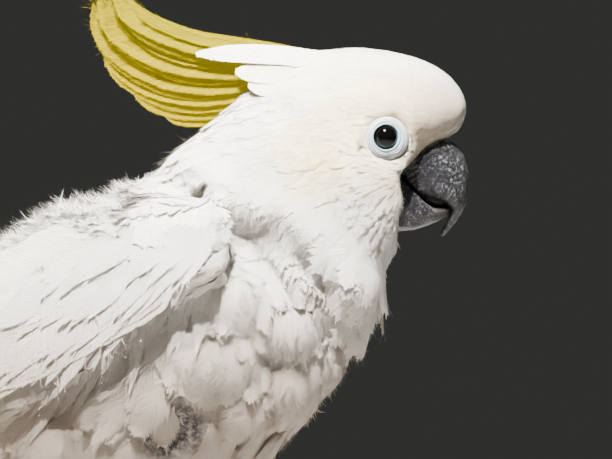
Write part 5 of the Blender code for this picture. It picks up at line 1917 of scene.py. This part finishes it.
@dataclass
class Eyes:
    """Each eyeball and the bare wrinkled ring that holds it."""

    turn: float = math.radians(9)
    swell: float = 1.10  # the finished ball's size beside its rough solid
    cornea: float = 0.35 * MM  # how far the cornea stands out
    cornea_edge: float = 0.62  # where it ends, as a share of the way from the pupil's middle to the ball's side
    ring_profile: Line = (
        # radius and height over the ring's middle, from the lid's inside out
        (5.30, -1.2), (5.45, 0.3), (5.65, 1.15), (5.95, 1.5), (6.3, 1.25), (6.5, 0.75), (6.8, 1.05), (7.1, 1.1),
        (7.35, 0.7), (7.6, 0.85), (7.95, 0.65), (8.2, 0.2), (8.7, 0.0), (9.3, -0.7), (9.8, -2.4),
    )
    ring_steps: int = 72
    ring_out: float = 2.35 * MM  # how far out from the ball's middle the ring stands
    waves: tuple[Place, ...] = ((0.10, 5, 9), (0.07, 11, -23), (0.05, 17, 31))  # height in mm, turns, ripples

    def build(self, eye: bpy.types.Material, ring: bpy.types.Material) -> None:
        """Builds both eyes.

        Args:
            eye: the eyeball's finish.
            ring: the bare skin's finish.
        """
        for side, label in SIDES:
            self.build_ball(side, label, eye)
            self.build_ring(side, label, ring)

    def placed(self, centre: Vector, side: int) -> Matrix:
        """The move from the eye's own axes, with +Y looking out, to the head."""
        turned = Matrix.Translation(centre) @ Matrix.Rotation(-side * self.turn, 4, "Z")
        return turned @ Matrix.Diagonal((1, side, 1, 1))

    def build_ball(self, side: int, label: str, material: bpy.types.Material) -> None:
        """Builds one eyeball with its cornea."""
        low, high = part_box(f"eye_{label}")
        centre, radius = (low + high) / 2, (high.z - low.z) / 2 * self.swell
        shape = bmesh.new()
        bmesh.ops.create_uvsphere(shape, u_segments=64, v_segments=40, radius=radius)
        bmesh.ops.rotate(shape, matrix=Matrix.Rotation(-math.pi / 2, 3, "X"), verts=shape.verts)
        gaze = []
        for vert in shape.verts:
            out = math.acos(max(-1.0, min(1.0, vert.co.y / radius))) / (math.pi / 2)
            vert.co += vert.co.normalized() * self.cornea * max(0.0, 1 - (out / self.cornea_edge) ** 2)
            gaze.append(out)
        bmesh.ops.transform(shape, matrix=self.placed(centre, side), verts=shape.verts)
        bmesh.ops.recalc_face_normals(shape, faces=shape.faces)
        mesh = as_mesh(shape, f"eyeball_{label}")
        keep_values(mesh, "Gaze", np.array(gaze), 0.0, 0.0)
        settle(add_piece(f"eyeball_{label}", mesh, material), Slot.EYE, f"eye_{label}")

    def build_ring(self, side: int, label: str, material: bpy.types.Material) -> None:
        """Builds one ring of bare skin by spinning its outline, then wrinkling it."""
        low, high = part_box(f"eye_ring_{label}")
        ball_low, ball_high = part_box(f"eye_{label}")
        centre = (low + high) / 2
        ball = (ball_low + ball_high) / 2
        shape = bmesh.new()
        verts = [shape.verts.new((r * MM, h * MM, 0)) for r, h in self.ring_profile]
        edges = [shape.edges.new(pair) for pair in zip(verts, verts[1:])]
        bmesh.ops.spin(
            shape, geom=verts + edges, cent=(0, 0, 0), axis=(0, 1, 0), angle=2 * math.pi, steps=self.ring_steps,
            use_merge=True,
        )
        bmesh.ops.remove_doubles(shape, verts=shape.verts, dist=1e-6)
        bmesh.ops.subdivide_edges(shape, edges=shape.edges, cuts=1, use_grid_fill=True)
        inner, outer = self.ring_profile[0][0] * MM, self.ring_profile[-1][0] * MM
        shift = Vector((ball.x - centre.x, 0, ball.z - centre.z))
        gaze = []
        for vert in shape.verts:
            r = math.hypot(vert.co.x, vert.co.z)
            a = math.atan2(vert.co.z, vert.co.x)
            out = (r - inner) / (outer - inner)
            wrinkle = sum(high * math.sin(round_about * a + across * out) for high, round_about, across in self.waves)
            vert.co.y += wrinkle * MM * min(1.0, max(0.0, (out - 0.2) * 3))
            vert.co += shift * (1 - out)
            gaze.append((out, a / (2 * math.pi) + 0.5))
        at = Vector((centre.x, ball.y + side * self.ring_out, centre.z))
        bmesh.ops.transform(shape, matrix=self.placed(at, side), verts=shape.verts)
        bmesh.ops.recalc_face_normals(shape, faces=shape.faces)
        mesh = as_mesh(shape, f"eye_ring_skin_{label}")
        keep_values(mesh, "Gaze", *np.array(gaze).T, 0.0)
        settle(add_piece(f"eye_ring_skin_{label}", mesh, material), Slot.RING, f"eye_ring_{label}")


@dataclass
class Feet:
    """Shanks, pads and toes as scaled skin, and their claws."""

    voxel: float = 0.6 * MM
    claw_voxel: float = 0.3 * MM
    toes: str = "1234"

    def build(self, skin: bpy.types.Material, horn: bpy.types.Material) -> None:
        """Builds both feet.

        Args:
            skin: the scaled skin's finish.
            horn: the claws' finish.
        """
        for _, label in SIDES:
            names = [f"shank_{label}", f"foot_pad_{label}"] + [f"toe_{k}_{label}" for k in self.toes]
            mesh = remeshed(node_shape(*names), self.voxel, 3, f"foot_{label}")
            settle(add_piece(f"foot_{label}", mesh, skin), Slot.FOOT, *names)
            for k in self.toes:
                name = f"claw_{k}_{label}"
                claw = remeshed(node_shape(name), self.claw_voxel, 2, f"{name}_horn")
                settle(add_piece(f"{name}_horn", claw, horn), Slot.CLAW, name)


# --------------------------------------------------------------------------------------------------
# Studio


@dataclass
class Studio:
    """Pale floor, soft lights and the camera at the bird's right side."""

    floor_radius: float = 1.8
    camera_at: Place = (0.1502, -2.0, 0.202)
    lens: float = 261.4
    backdrop: Colour = (0.035, 0.036, 0.034)

    def build(self) -> None:
        """Builds floor, lights, world and camera."""
        shape = bmesh.new()
        bmesh.ops.create_circle(shape, cap_ends=True, segments=96, radius=self.floor_radius)
        n = Surface("floor_pale")
        tone = n.mix(n.ramp(n.noise(n.where(), 6.0), 0.3, 0.7), (0.60, 0.59, 0.57), (0.66, 0.65, 0.63))
        material = n.dress({"Base Color": tone, "Roughness": 0.85})
        floor = add_piece("floor", as_mesh(shape, "floor"), material)
        self.add_light("key", (-0.02, -0.72, 1.74), 0.24, 9.0, (1.0, 0.955, 0.89), True, 50.0)
        for name, aim, power in (("head_key", (0.165, 0, 0.262), 0.78), ("back_key", (0.01, 0, 0.225), 0.62)):
            self.add_light(name, (-0.02, -1.02, 1.55), 0.09, power, (1.0, 0.955, 0.89), False, 10.0, aim)
        self.add_light("fill", (0.9, -1.7, 0.5), 1.5, 0.7, (1.0, 0.90, 0.83), False)
        self.add_light("rim", (-0.35, 1.1, 1.2), 0.8, 9.0, (0.93, 0.96, 1.0), False)
        world = bpy.data.worlds.new("studio")
        world.use_nodes = True
        world.node_tree.nodes["Background"].inputs[0].default_value = (*self.backdrop, 1)
        world.node_tree.nodes["Background"].inputs[1].default_value = 1.0
        bpy.context.scene.world = world
        lens = bpy.data.cameras.new("camera")
        lens.lens = self.lens
        lens.sensor_width = 36.0
        lens.clip_end = 50.0
        camera = bpy.data.objects.new("camera", lens)
        camera.location = self.camera_at
        camera.rotation_euler = (math.pi / 2, 0, 0)
        bpy.context.scene.collection.objects.link(camera)
        bpy.context.scene.camera = camera

    def add_light(self, name: str, at: Place, size: float, power: float, colour: Colour, shine: bool,
                  spread: float = 180.0, aim: Place = (0.10, 0, 0.18)) -> None:
        """Adds a soft square light that faces the bird.

        Args:
            name: the light's name.
            at: its place.
            size: its side.
            power: its power in watts.
            colour: its colour.
            shine: whether glossy things mirror it.
            spread: how wide its beam is, in degrees.
            aim: what it faces.
        """
        data = bpy.data.lights.new(name, "AREA")
        data.size = size
        data.energy = power
        data.color = colour
        data.spread = math.radians(spread)
        light = bpy.data.objects.new(name, data)
        light.location = at
        light.visible_glossy = shine
        light.rotation_euler = (Vector(aim) - Vector(at)).to_track_quat("-Z", "Y").to_euler()
        bpy.context.scene.collection.objects.link(light)


def feather_finishes() -> tuple[Finishes, bpy.types.Material]:
    """The feather materials by name, and the skin's material, which share their markings."""
    markings, barbs = Markings().make(), BarbLines().make()
    white, shade = (0.93, 0.895, 0.838), (0.86, 0.812, 0.735)
    looks = {
        "white": FeatherFinish("feather_white", white, shade),
        "white_long": FeatherFinish("feather_white_long", white, (0.86, 0.83, 0.76), lines=110.0),
        "quill": FeatherFinish("feather_quill", (0.91, 0.89, 0.85), (0.80, 0.77, 0.71), lines=150.0, rough=0.6),
        # the crest has a painted glow, standing in for light through its vanes
        "crest": FeatherFinish(
            "feather_crest", (0.17, 0.147, 0.0), (0.20, 0.158, 0.0), lines=170.0, line_shade=0.26, rough=0.7,
            own_yellow=(0.20, 0.152, 0.0), gloss=0.02, sheen=0.0, painted_glow=1.35,
        ),
    }
    return {name: look.make(markings, barbs) for name, look in looks.items()}, SkinFinish().make(markings)


def main() -> None:
    """Builds the bird's looks and the studio."""
    logging.basicConfig(level=logging.INFO, format="%(name)s: %(message)s")
    finishes, skin_finish = feather_finishes()
    Studio().build()
    lie = Lie()
    skin = Skin(lie, Relief())
    skin.build(skin_finish)
    Coat(skin, lie, BodyMap()).build(finishes)
    Crest().build(finishes)
    for side, label in SIDES:
        Wing(label, side, skin).build(finishes)
    Tail().build(finishes)
    Beak().build(BeakFinish().make())
    Eyes().build(EyeFinish().make(), RingFinish().make())
    Feet().build(FootFinish().make(), ClawFinish().make())


if __name__ == "__main__":
    main()
